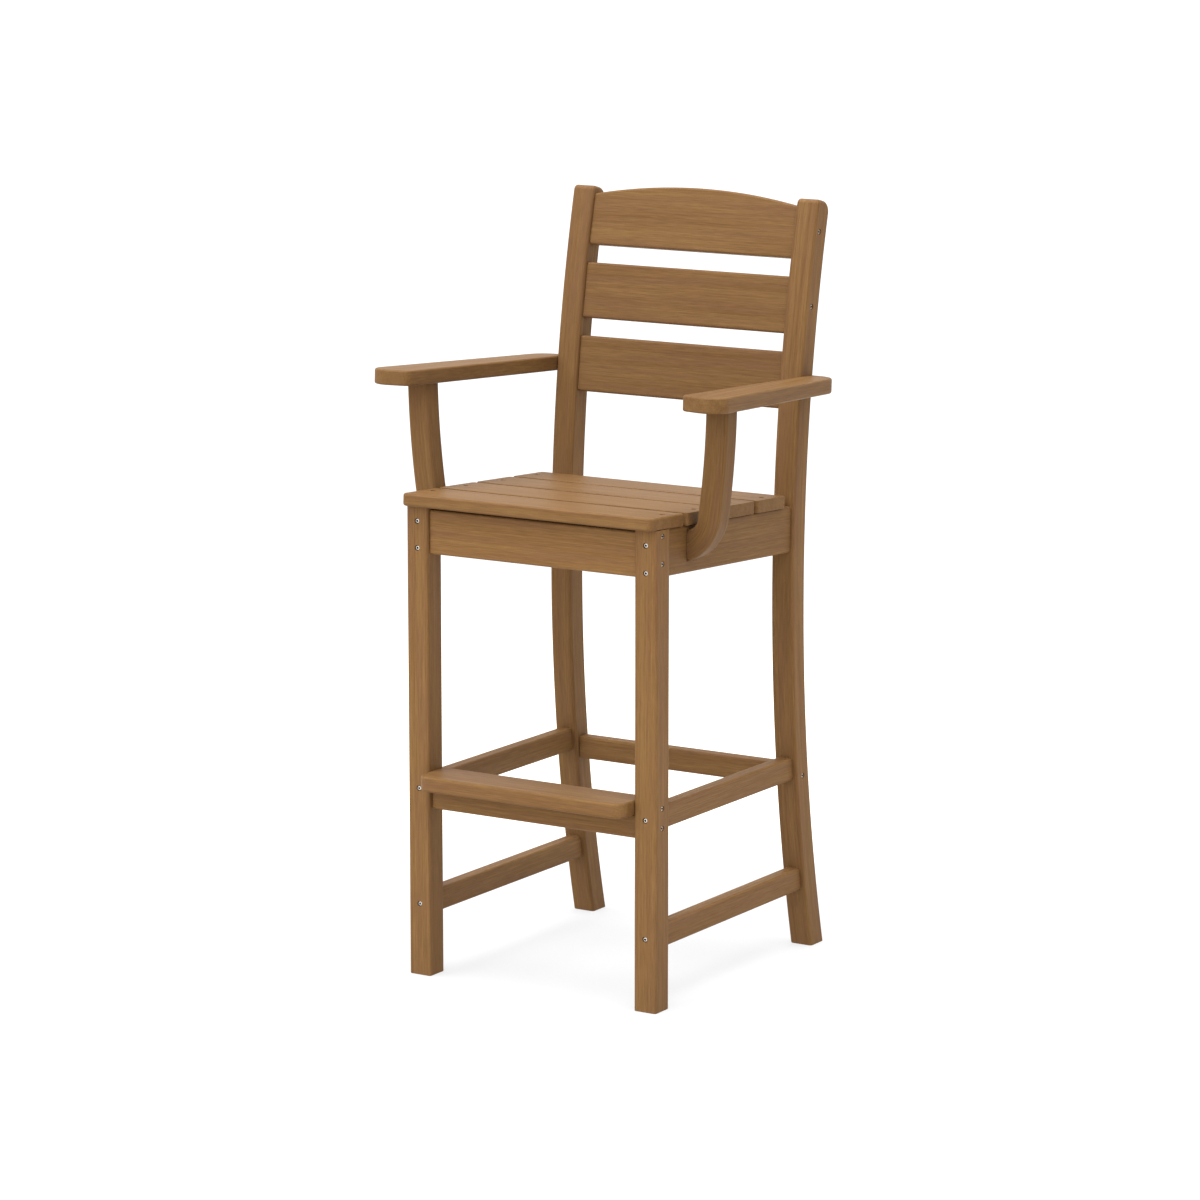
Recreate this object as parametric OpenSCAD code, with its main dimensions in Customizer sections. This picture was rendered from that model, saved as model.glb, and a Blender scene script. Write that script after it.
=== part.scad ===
// Bar-height arm chair made of plastic-lumber boards.
// Millimetres, +Z up, the sitter faces -Y, and the origin is on the floor under the middle
// of the chair's width and depth.

/* [Frame] */
// Width over the outer faces of the legs
frame_w = 450; // [420:1:500]
// Side of the square leg stock
leg_w = 39; // [36:1:44]
// Rounding along the edges of every board
edge_r = 3; // [1:0.5:4]

/* [Rear legs] */
// Radius of the arc that each rear leg is cut along, at its front face
sweep_r = 2560; // [2200:10:3200]
// Height at which the rear leg stands nearest to the front leg
waist_z = 591; // [560:1:620]
// From the front face of the front legs to the rear leg's front face at that height
waist_y = 407; // [395:1:425]
// Height of the back posts at their front top edge
post_h = 1194; // [1185:1:1205]
// Rounding of the post top at the front
post_round_front = 8; // [4:1:12]
// Rounding of the post top at the back
post_round_back = 18; // [8:1:22]

/* [Seat] */
// Height of the seat plane above the front face of the front legs
seat_h = 761; // [740:1:775]
// Fall of the seat towards the back, in degrees
seat_slope = 3; // [1:0.5:4]
// Thickness of a seat slat
slat_t = 19.5; // [16:0.5:24]
// Width of the three front seat slats
slat_w = 96.5; // [92:0.5:99]
// Width of the rear seat slat
rear_slat_w = 86; // [70:1:92]
// Gap between two seat slats
slat_gap = 8; // [4:0.5:10]
// How far the seat stands out in front of the legs
seat_overhang = 15.5; // [6:0.5:24]
// Corner radius of the front seat slat in plan
seat_corner_r = 12; // [4:1:20]

/* [Aprons] */
// Height of the side aprons under the seat
side_apron_h = 73; // [65:1:85]
// Height of the front apron under the seat, at its front face
front_apron_h = 74; // [65:1:85]
// Thickness of the aprons
apron_t = 25; // [18:1:26]
// How far the aprons stand back from the outer faces of the legs
apron_inset = 6; // [4:0.5:9]

/* [Stretchers] */
// Height of a stretcher board
stretcher_h = 37; // [30:1:44]
// Thickness of a stretcher board
stretcher_t = 23; // [18:1:28]
// Underside of the upper side stretchers
upper_stretcher_z = 279.7; // [262:0.1:284]
// Underside of the lower side stretchers
lower_stretcher_z = 95.5; // [70:0.5:140]

/* [Footrest] */
// Height of the top of the footrest board
footrest_z = 327.3; // [325:0.1:332]
// Thickness of the footrest board
footrest_t = 24; // [21:1:26]
// How far the footrest stands out in front of the legs
footrest_overhang = 36.5; // [24:0.5:50]
// Corner radius at the front of the footrest in plan
footrest_corner_r = 20; // [8:1:30]

/* [Back slats] */
// Width of the lower and middle back slats
back_slat_w = 89; // [80:1:94]
// Thickness of a back slat
back_slat_t = 20; // [16:1:24]
// Gap between two back slats
back_slat_gap = 28.7; // [22:0.1:34]
// How far the slats stand back behind the front faces of the posts
back_slat_recess = 6; // [4:0.5:9]
// From the top of the posts down to the middle of the lower slat
low_slat_drop = 280; // [270:0.5:290]
// Height of the top slat at its ends
top_slat_end_h = 82; // [70:1:88]
// Rise of the arched top edge over the ends of the top slat
arch_rise = 18; // [6:1:22]

/* [Arms] */
// Height of the top of the arm above the front face of the front legs
arm_h = 944.2; // [925:0.1:965]
// Fall of the arm towards the back, in degrees
arm_slope = 2.9; // [1:0.1:4]
// Thickness of the arm
arm_t = 24; // [18:1:30]
// From the front faces of the front legs back to the arm's outer front corner
arm_front_y = 17; // [5:1:40]
// From the front faces of the front legs back to the rear end of the arm
arm_rear_y = 463; // [440:1:470]
// How far the inner edge of the arm stands outside the frame at the front
arm_in_front = 19; // [10:1:26]
// How far the outer edge of the arm stands outside the frame at the front
arm_out_front = 94; // [80:1:110]
// Width of the arm at its rear end
arm_rear_w = 48; // [40:1:60]
// Radius of the outer front corner of the arm
arm_outer_r = 30; // [10:1:42]
// Radius of the inner front corner of the arm
arm_inner_r = 14; // [4:1:18]
// Radius of the outer rear corner of the arm
arm_rear_r = 38; // [4:1:42]
// How far the inner front corner of the arm stands behind the outer one
arm_splay = 20; // [4:1:26]

/* [Arm posts] */
// Depth of an arm post from front to back
arm_post_d = 35; // [28:1:40]
// Width of an arm post across the chair
arm_post_w = 38; // [30:1:42]
// From the front faces of the front legs back to the front of the arm posts
arm_post_y = 95.3; // [85:0.1:110]
// How far the top of an arm post reaches out from the face of the side apron
arm_post_reach = 69.7; // [60:0.1:80]
// Radius of the long outward curve of an arm post
arm_post_sweep_r = 1400; // [1000:10:2000]
// Radius of the outer bend above the foot
knee_r = 87; // [75:1:95]
// Height of the centre of that bend above the top of the foot
knee_rise = 32; // [26:1:38]
// Radius of the hollow bend inside the foot
fillet_r = 18; // [10:1:24]
// From the underside of the seat down to the top of the foot
foot_drop = 6; // [3:0.5:12]

/* [Screws] */
// Diameter of a screw head
head_d = 7.6; // [6:0.2:9]
// Thickness of a screw head
head_t = 2.4; // [1.5:0.1:3]
// Diameter of a screw shank
shank_d = 4.6; // [3.5:0.1:5]
// Length of the screws through the legs
leg_screw_l = 62; // [50:1:70]
// Length of the screws through the seat slats
seat_screw_l = 36; // [30:1:37]
// From the back of a front leg to the front seat slat's screws
seat_screw_back = 7; // [5:0.5:20]
// How deep a head sits below the surface
head_sink = 0.5; // [0.2:0.1:1]
// Spacing of the two screws in the end of an apron
apron_screw_gap = 42; // [36:1:44]
// From the edge of an apron to the nearer screw
apron_screw_rise = 9.5; // [8:0.5:12]
// Width of the driver recess in a head
recess_w = 3; // [2:0.2:3.6]
// Depth of the driver recess
recess_d = 1.4; // [0.8:0.1:1.4]

/* [Hidden] */

// Fine facets for the long arcs and plain ones for edges and screws
sweep_fn = 1080;
curve_fn = 96;
edge_fn = 32;
// Length of cutting solids that reach past what they cut
over = 60;
// Clearance of a screw head in its seat
head_clear = 0.3;

half_w = frame_w/2;
inner_x = half_w - leg_w;
leg_mid = leg_w/2;
stretcher_inset = leg_mid - stretcher_t/2;
apron_x = half_w - apron_inset;

// Centre of the rear legs' arc, and where their backs meet the floor
sweep_y = waist_y + sweep_r;
rear_foot_y = sweep_y - sqrt(pow(sweep_r - leg_w, 2) - pow(waist_z, 2));
// Middle of the chair's depth, which becomes the origin
mid_y = (rear_foot_y - footrest_overhang)/2;

// Angle on the arc for a height of the rear leg's front face
function arc_angle(z) = asin((z - waist_z)/sweep_r);
// The rear leg's front face at a height
function rear_front_y(z) = sweep_y - sqrt(pow(sweep_r, 2) - pow(z - waist_z, 2));
// Angle that a length takes up along the arc
function arc_step(length) = 360*length/(2*PI*sweep_r);
// Height of a point that lies a given way below the seat plane, at a depth from the front
function seat_z(y, below) = seat_h - y*tan(seat_slope) - below/cos(seat_slope);

// Angles on the arc of the post top, and of a place a little below the foot
top_angle = arc_angle(post_h);
foot_angle = asin(waist_z/(sweep_r - leg_w)) + arc_step(leg_w);
slat_step = arc_step(back_slat_w + back_slat_gap);
low_angle = arc_angle(post_h - low_slat_drop);
back_slat_l = 2*inner_x;

// Seat slats from front to back, along the sloping seat
second_slat_y = slat_w - seat_overhang + slat_gap;
third_slat_y = second_slat_y + slat_w + slat_gap;
rear_slat_y = third_slat_y + slat_w + slat_gap;

footrest_under = footrest_z - footrest_t;
front_stretcher_z = footrest_under - stretcher_h;
stretcher_mid_z = front_stretcher_z + stretcher_h/2;

// Arm post: centres of its long curve, outer bend and inner bend, seen from the front
foot_top_z = seat_z(arm_post_y + arm_post_d/2, slat_t + foot_drop);
post_sweep_x = apron_x + arm_post_reach - arm_post_sweep_r;
post_sweep_z = arm_h;
post_inner_r = arm_post_sweep_r - arm_post_w;
knee_z = foot_top_z + knee_rise;
knee_x = tangent_x(arm_post_sweep_r - knee_r, knee_z);
fillet_z = foot_top_z + fillet_r;
fillet_x = tangent_x(post_inner_r - fillet_r, fillet_z);
// Where a bend's centre lies across the chair, so that the bend runs into the long curve
function tangent_x(r, z) = post_sweep_x + sqrt(pow(r, 2) - pow(z - post_sweep_z, 2));

// Apron screws, and the screws of the footrest board and the stretchers below it
front_screw_z = seat_z(leg_mid, slat_t) - apron_screw_rise;
footrest_screw_z = footrest_z - footrest_t/2;
rear_stretcher_y = rear_front_y(stretcher_mid_z) + leg_mid;

// What is drawn in here is measured from the front faces of the front legs
module chair() {
    translate([0, -mid_y, 0])
        children();
}

// Left is the side at -X
module side(left) {
    mirror([left ? 1 : 0, 0, 0])
        children();
}

// The sloping frame of the seat: Z is zero on top of the slats
module seat_frame() {
    translate([0, 0, seat_h])
        rotate([-seat_slope, 0, 0])
            children();
}

// The sloping frame of the arms: Z is zero on top of the arm
module arm_frame() {
    translate([0, 0, arm_h])
        rotate([-arm_slope, 0, 0])
            children();
}

// A frame on the rear legs' arc: Y runs backwards from the front face and Z up the leg
module on_arc(angle, depth) {
    translate([0, sweep_y, waist_z])
        rotate([-angle, 0, 0])
            translate([0, depth - sweep_r, 0])
                children();
}

// A rectangle with rounded corners that starts at the origin
module rounded_rect(w, h, r) {
    translate([r, 0])
        square([w - 2*r, h]);
    translate([0, r])
        square([w, h - 2*r]);
    for (x = [r, w - r], y = [r, h - r])
        translate([x, y])
            circle(r = r, $fn = edge_fn);
}

// A board along X with rounded long edges: length, depth in Y and height in Z
module board_x(l, d, h) {
    rotate([90, 0, 90])
        linear_extrude(l)
            rounded_rect(d, h, edge_r);
}

// A board along Y with rounded long edges: width in X, length and height in Z
module board_y(w, l, h) {
    translate([0, l, 0])
        rotate([90, 0, 0])
            linear_extrude(l)
                rounded_rect(w, h, edge_r);
}

// A convex outline with each corner rounded by its own radius
module rounded_outline(points, radii) {
    n = len(points);
    difference() {
        polygon(points);
        for (i = [0:n - 1])
            if (radii[i] > 0)
                corner_cut(points[(i + n - 1) % n], points[i], points[(i + 1) % n], radii[i]);
    }
}

function unit(v) = v/norm(v);

// What lies outside an arc that rounds the corner at p, reaching twice as far as the corner
module corner_cut(before, p, after, r) {
    a = unit(before - p);
    b = unit(after - p);
    half = acos(a*b)/2;
    reach = r/tan(half);
    centre = p + unit(a + b)*r/sin(half);
    translate(centre)
        difference() {
            polygon([[0, 0], 2*(p + a*reach - centre), 2*(p - centre), 2*(p + b*reach - centre)]);
            circle(r = r, $fn = curve_fn);
        }
}

// The solid behind the front face of the rear legs, which ends the boards that meet it
module behind_rear_face() {
    translate([-half_w - over, sweep_y, waist_z])
        rotate([0, 90, 0])
            cylinder(r = sweep_r, h = frame_w + 2*over, $fn = sweep_fn);
}

// Everything above the underside of the seat
module above_seat_underside() {
    seat_frame()
        translate([-frame_w, -over, -slat_t])
            cube([2*frame_w, frame_w + 2*over, leg_w + over]);
}

// A screw with its head at z = 0, pointing down
module screw(l) {
    difference() {
        union() {
            translate([0, 0, -head_t])
                cylinder(d = head_d, h = head_t, $fn = edge_fn);
            translate([0, 0, -l])
                cylinder(d = shank_d, h = l - head_t/2, $fn = edge_fn);
        }
        translate([-recess_w/2, -recess_w/2, -recess_d])
            cube([recess_w, recess_w, head_t]);
    }
}

// The seat of a head and the bore of a shank
module screw_hole(l) {
    translate([0, 0, -head_t])
        cylinder(d = head_d + head_clear, h = head_t + head_d, $fn = edge_fn);
    translate([0, 0, -l])
        cylinder(d = shank_d, h = l, $fn = edge_fn);
}

// Screws in the front faces of the front legs, into the side aprons and side stretchers
module at_front_leg_front_screws() {
    low_screw_z = seat_z(leg_w, slat_t + side_apron_h) + apron_screw_rise;
    heights = [low_screw_z + apron_screw_gap, low_screw_z, upper_stretcher_z + stretcher_h/2,
        lower_stretcher_z + stretcher_h/2];
    for (s = [-1, 1], z = heights)
        translate([s*(half_w - leg_mid), head_sink, z])
            rotate([90, 0, 0])
                children();
}

// Screws in the outer sides of the front legs, into the front apron, the footrest board
// and the front stretcher
module at_front_leg_side_screws() {
    for (s = [-1, 1], z = [front_screw_z, front_screw_z - apron_screw_gap])
        translate([s*(half_w - head_sink), apron_inset + apron_t/2, z])
            rotate([0, s*90, 0])
                children();
    for (s = [-1, 1], z = [footrest_screw_z, stretcher_mid_z])
        translate([s*(half_w - head_sink), leg_mid, z])
            rotate([0, s*90, 0])
                children();
}

// Screws in the outer sides of the rear legs, into the back slats and the rear stretcher
module at_rear_leg_side_screws() {
    for (s = [-1, 1], i = [0:2])
        on_arc(low_angle + i*slat_step, back_slat_recess + back_slat_t/2)
            translate([s*(half_w - head_sink), 0, 0])
                rotate([0, s*90, 0])
                    children();
    for (s = [-1, 1])
        translate([s*(half_w - head_sink), rear_stretcher_y, stretcher_mid_z])
            rotate([0, s*90, 0])
                children();
}

// Screws in the backs of the rear legs, into the side aprons and side stretchers
module at_rear_leg_back_screws() {
    low_screw_z = seat_z(waist_y + leg_w, slat_t + side_apron_h) + apron_screw_rise;
    heights = [low_screw_z + apron_screw_gap, low_screw_z, upper_stretcher_z + stretcher_h/2,
        lower_stretcher_z + stretcher_h/2];
    for (s = [-1, 1], z = heights)
        on_arc(arc_angle(z), leg_w - head_sink)
            translate([s*(half_w - leg_mid), 0, 0])
                rotate([-90, 0, 0])
                    children();
}

// Screws through the ends of the seat slats, into the side aprons
module at_seat_screws() {
    depths = [leg_w + seat_screw_back, second_slat_y + slat_w/2, third_slat_y + slat_w/2,
        rear_slat_y + rear_slat_w/2];
    for (s = [-1, 1], y = depths)
        seat_frame()
            translate([s*(apron_x - apron_t/2), y, -head_sink])
                children();
}

module all_leg_screw_holes() {
    at_front_leg_front_screws()
        screw_hole(leg_screw_l);
    at_front_leg_side_screws()
        screw_hole(leg_screw_l);
}

module all_rear_screw_holes() {
    at_rear_leg_side_screws()
        screw_hole(leg_screw_l);
    at_rear_leg_back_screws()
        screw_hole(leg_screw_l);
}

module front_leg(left) {
    chair()
        difference() {
            side(left)
                translate([inner_x, 0, 0])
                    linear_extrude(seat_h)
                        rounded_rect(leg_w, leg_w, edge_r);
            above_seat_underside();
            all_leg_screw_holes();
        }
}

// The corner of the post top that a radius takes off, at the front or the back face
module post_top_round(r, face_depth, inward) {
    ring = sweep_r - face_depth - inward*r;
    swing = asin(r/ring);
    centre = [sweep_r - ring*cos(swing), -r];
    touch = centre + inward*r*[-cos(swing), -sin(swing)];
    past = centre + inward*(r + leg_w/2)*[-cos(swing), -sin(swing)];
    translate([-over, 0, 0])
        rotate([90, 0, 90])
            linear_extrude(2*over)
                difference() {
                    polygon([centre, [centre.x, leg_w], [past.x, leg_w], past, touch]);
                    translate(centre)
                        circle(r = r, $fn = curve_fn);
                }
}

// The leg's square section swept along the arc, from below the floor to the post top
module rear_leg_blank() {
    translate([0, sweep_y, waist_z])
        rotate([0, 90, 0])
            rotate([0, 0, -90 - top_angle])
                rotate_extrude(angle = top_angle + foot_angle, $fn = sweep_fn)
                    translate([sweep_r - leg_w, -leg_mid])
                        rounded_rect(leg_w, leg_w, edge_r);
}

module rear_leg(left) {
    side_x = left ? leg_mid - half_w : half_w - leg_mid;
    chair()
        difference() {
            translate([side_x, 0, 0])
                difference() {
                    rear_leg_blank();
                    translate([-over, 0, -frame_w])
                        cube([2*over, 2*frame_w, frame_w]);
                    on_arc(top_angle, 0)
                        post_top_round(post_round_front, 0, 1);
                    on_arc(top_angle, 0)
                        post_top_round(post_round_back, leg_w, -1);
                }
            all_rear_screw_holes();
        }
}

module front_apron_board() {
    near = apron_inset;
    far = apron_inset + apron_t;
    bottom = seat_z(near, slat_t) - front_apron_h;
    profile = [[near, bottom], [far, bottom], [far, seat_z(far, slat_t)],
        [near, seat_z(near, slat_t)]];
    chair()
        difference() {
            translate([-inner_x, 0, 0])
                rotate([90, 0, 90])
                    linear_extrude(2*inner_x)
                        rounded_outline(profile, [edge_r, edge_r, edge_r, edge_r]);
            all_leg_screw_holes();
        }
}

module side_apron(left) {
    chair()
        difference() {
            side(left)
                seat_frame()
                    translate([apron_x - apron_t, -over, -slat_t - side_apron_h])
                        board_y(apron_t, waist_y + leg_w + 2*over, side_apron_h);
            translate([-frame_w, leg_w - frame_w, 0])
                cube([2*frame_w, frame_w, seat_h + over]);
            behind_rear_face();
            all_leg_screw_holes();
            all_rear_screw_holes();
            at_seat_screws()
                screw_hole(seat_screw_l);
        }
}

module seat_slat(y, w) {
    chair()
        difference() {
            seat_frame()
                translate([-half_w, y, -slat_t])
                    board_x(frame_w, w, slat_t);
            at_seat_screws()
                screw_hole(seat_screw_l);
        }
}

module front_seat_slat() {
    plan = [[-half_w, -seat_overhang], [half_w, -seat_overhang], [half_w, slat_w - seat_overhang],
        [-half_w, slat_w - seat_overhang]];
    chair()
        difference() {
            seat_frame()
                intersection() {
                    translate([-half_w, -seat_overhang, -slat_t])
                        board_x(frame_w, slat_w, slat_t);
                    translate([0, 0, -slat_t])
                        linear_extrude(slat_t)
                            rounded_outline(plan, [seat_corner_r, seat_corner_r, 0, 0]);
                }
            at_seat_screws()
                screw_hole(seat_screw_l);
        }
}

module back_slat(index) {
    chair()
        difference() {
            on_arc(low_angle + index*slat_step, back_slat_recess)
                translate([-inner_x, 0, -back_slat_w/2])
                    board_x(back_slat_l, back_slat_t, back_slat_w);
            all_rear_screw_holes();
        }
}

// The top slat's upper edge is a single arc between its ends, rounded like the other edges
module top_back_slat() {
    rise_r = (pow(inner_x, 2) + pow(arch_rise, 2))/(2*arch_rise);
    top = top_slat_end_h + arch_rise;
    chair()
        difference() {
            on_arc(low_angle + 2*slat_step, back_slat_recess)
                translate([0, 0, -back_slat_w/2])
                    intersection() {
                        translate([-inner_x, 0, 0])
                            board_x(back_slat_l, back_slat_t, top + over);
                        translate([0, back_slat_t, top - rise_r])
                            rotate([90, 0, 0])
                                rotate_extrude($fn = sweep_fn)
                                    arch_profile(rise_r);
                    }
            all_rear_screw_holes();
        }
}

// Half the section of a disc as thick as a back slat, with a rounded rim
module arch_profile(r) {
    square([r - edge_r, back_slat_t]);
    translate([r - leg_w, 0])
        rounded_rect(leg_w, back_slat_t, edge_r);
}

module arm(left) {
    leg_front = rear_front_y(arm_h);
    outline = [[half_w + arm_in_front, arm_front_y + arm_splay],
        [half_w + arm_out_front, arm_front_y],
        [half_w + arm_rear_w, arm_rear_y],
        [half_w, arm_rear_y],
        [half_w, leg_front]];
    chair()
        side(left)
            arm_frame()
                translate([0, 0, -arm_t])
                    linear_extrude(arm_t)
                        rounded_outline(outline, [arm_inner_r, arm_outer_r, arm_rear_r, 0, 0]);
}

// Seen from the front: what lies inside a long curve above its tangent bend, with the bend
module bent_disc(r, bend_x, bend_z, bend_r) {
    lean = atan2(bend_z - post_sweep_z, bend_x - post_sweep_x);
    far = (r + over)*[cos(lean), sin(lean)];
    intersection() {
        translate([post_sweep_x, post_sweep_z])
            circle(r = r, $fn = sweep_fn);
        polygon([[0, bend_z], [bend_x, bend_z], [post_sweep_x + far.x, post_sweep_z + far.y],
            [post_sweep_x + far.x, arm_h + over], [0, arm_h + over]]);
    }
    translate([bend_x, bend_z])
        circle(r = bend_r, $fn = curve_fn);
}

module arm_post(left) {
    chair()
        side(left)
            difference() {
                translate([0, arm_post_y + arm_post_d, 0])
                    rotate([90, 0, 0])
                        linear_extrude(arm_post_d)
                            difference() {
                                bent_disc(arm_post_sweep_r, knee_x, knee_z, knee_r);
                                bent_disc(post_inner_r, fillet_x, fillet_z, fillet_r);
                                translate([0, foot_top_z])
                                    square([fillet_x, arm_h]);
                                square([apron_x, arm_h + 2*over]);
                            }
                arm_frame()
                    translate([0, -over, -arm_t])
                        cube([frame_w, frame_w + over, arm_t + 2*over]);
            }
}

module footrest() {
    depth = footrest_overhang + leg_w;
    plan = [[-inner_x, -footrest_overhang], [inner_x, -footrest_overhang], [inner_x, leg_w],
        [-inner_x, leg_w]];
    chair()
        difference() {
            intersection() {
                translate([-inner_x, -footrest_overhang, footrest_under])
                    board_x(2*inner_x, depth, footrest_t);
                translate([0, 0, footrest_under])
                    linear_extrude(footrest_t)
                        rounded_outline(plan, [footrest_corner_r, footrest_corner_r, 0, 0]);
            }
            all_leg_screw_holes();
        }
}

module cross_stretcher(y) {
    chair()
        difference() {
            translate([-inner_x, y, front_stretcher_z])
                board_x(2*inner_x, stretcher_t, stretcher_h);
            all_leg_screw_holes();
            all_rear_screw_holes();
        }
}

module side_stretcher(left, z) {
    chair()
        difference() {
            side(left)
                translate([half_w - stretcher_inset - stretcher_t, leg_w, z])
                    board_y(stretcher_t, waist_y + leg_w, stretcher_h);
            behind_rear_face();
            all_leg_screw_holes();
            all_rear_screw_holes();
        }
}

module front_leg_left() { color("#8f6b46") front_leg(true); }
module front_leg_right() { color("#8f6b46") front_leg(false); }
module rear_leg_left() { color("#7c5a3b") rear_leg(true); }
module rear_leg_right() { color("#7c5a3b") rear_leg(false); }
module front_apron() { color("#8c6843") front_apron_board(); }
module side_apron_left() { color("#7f5d3d") side_apron(true); }
module side_apron_right() { color("#7f5d3d") side_apron(false); }
module seat_slat_front() { color("#a5825b") front_seat_slat(); }
module seat_slat_second() { color("#ab8a63") seat_slat(second_slat_y, slat_w); }
module seat_slat_third() { color("#a8865f") seat_slat(third_slat_y, slat_w); }
module seat_slat_rear() { color("#a5825b") seat_slat(rear_slat_y, rear_slat_w); }
module back_slat_top() { color("#8d6944") top_back_slat(); }
module back_slat_middle() { color("#896541") back_slat(1); }
module back_slat_lower() { color("#866240") back_slat(0); }
module arm_left() { color("#93704a") arm(true); }
module arm_right() { color("#93704a") arm(false); }
module arm_post_left() { color("#87633f") arm_post(true); }
module arm_post_right() { color("#87633f") arm_post(false); }
module footrest_board() { color("#9c7a53") footrest(); }
module front_stretcher() { color("#866341") cross_stretcher(leg_mid - stretcher_t/2); }
module rear_stretcher() { color("#81603f") cross_stretcher(rear_stretcher_y - stretcher_t/2); }
module upper_stretcher_left() { color("#7f5d3d") side_stretcher(true, upper_stretcher_z); }
module upper_stretcher_right() { color("#7f5d3d") side_stretcher(false, upper_stretcher_z); }
module lower_stretcher_left() { color("#7f5d3d") side_stretcher(true, lower_stretcher_z); }
module lower_stretcher_right() { color("#7f5d3d") side_stretcher(false, lower_stretcher_z); }
module front_leg_front_screws() { color("silver") chair() at_front_leg_front_screws() screw(leg_screw_l); }
module front_leg_side_screws() { color("silver") chair() at_front_leg_side_screws() screw(leg_screw_l); }
module rear_leg_side_screws() { color("silver") chair() at_rear_leg_side_screws() screw(leg_screw_l); }
module rear_leg_back_screws() { color("silver") chair() at_rear_leg_back_screws() screw(leg_screw_l); }
module seat_screws() { color("silver") chair() at_seat_screws() screw(seat_screw_l); }

front_leg_left();
front_leg_right();
rear_leg_left();
rear_leg_right();
front_apron();
side_apron_left();
side_apron_right();
seat_slat_front();
seat_slat_second();
seat_slat_third();
seat_slat_rear();
back_slat_top();
back_slat_middle();
back_slat_lower();
arm_left();
arm_right();
arm_post_left();
arm_post_right();
footrest_board();
front_stretcher();
rear_stretcher();
upper_stretcher_left();
upper_stretcher_right();
lower_stretcher_left();
lower_stretcher_right();
front_leg_front_screws();
front_leg_side_screws();
rear_leg_side_screws();
rear_leg_back_screws();
seat_screws();
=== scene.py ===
"""Bar-height arm chair of round-edged lumber boards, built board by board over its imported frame."""

import logging
import math
from contextlib import contextmanager
from dataclasses import dataclass, replace
from enum import Enum, IntEnum
from typing import Callable, Iterator, Sequence

import bmesh
import bpy
from mathutils import Matrix, Vector


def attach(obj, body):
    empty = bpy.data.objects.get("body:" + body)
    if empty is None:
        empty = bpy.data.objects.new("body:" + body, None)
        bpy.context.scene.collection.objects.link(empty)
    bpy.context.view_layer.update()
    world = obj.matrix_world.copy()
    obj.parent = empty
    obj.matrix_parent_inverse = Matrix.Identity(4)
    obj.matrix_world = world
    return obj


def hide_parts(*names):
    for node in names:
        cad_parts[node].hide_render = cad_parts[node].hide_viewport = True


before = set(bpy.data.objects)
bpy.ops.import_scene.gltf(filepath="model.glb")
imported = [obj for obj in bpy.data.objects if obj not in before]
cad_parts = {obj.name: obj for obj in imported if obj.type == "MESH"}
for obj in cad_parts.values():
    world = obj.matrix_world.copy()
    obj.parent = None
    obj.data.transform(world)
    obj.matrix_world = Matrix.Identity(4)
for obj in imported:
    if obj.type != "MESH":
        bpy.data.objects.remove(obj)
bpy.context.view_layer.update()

log = logging.getLogger("bar_chair")

BODY = "root"
# Two places nearer than this count as one when an edge or face is picked
NEAR = 1e-5
# The attribute that holds the way along a board, for grain that follows a curve
PATH = "board_path"

Color = tuple[float, float, float, float]
# A range from low to high, and what its two ends become
Span = tuple[float, float, float, float]
Pick = Callable[[Sequence[Vector]], bool]
Socket = bpy.types.NodeSocket


class Axis(IntEnum):
    """The axes of the frame that every piece shares, as places in a vector."""

    X = 0
    Y = 1
    Z = 2


class Side(IntEnum):
    """The two sides of the chair, as signs on the X axis."""

    LEFT = -1
    RIGHT = 1

    @property
    def word(self) -> str:
        """The side as it stands in a node's name."""
        return self.name.lower()


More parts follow.
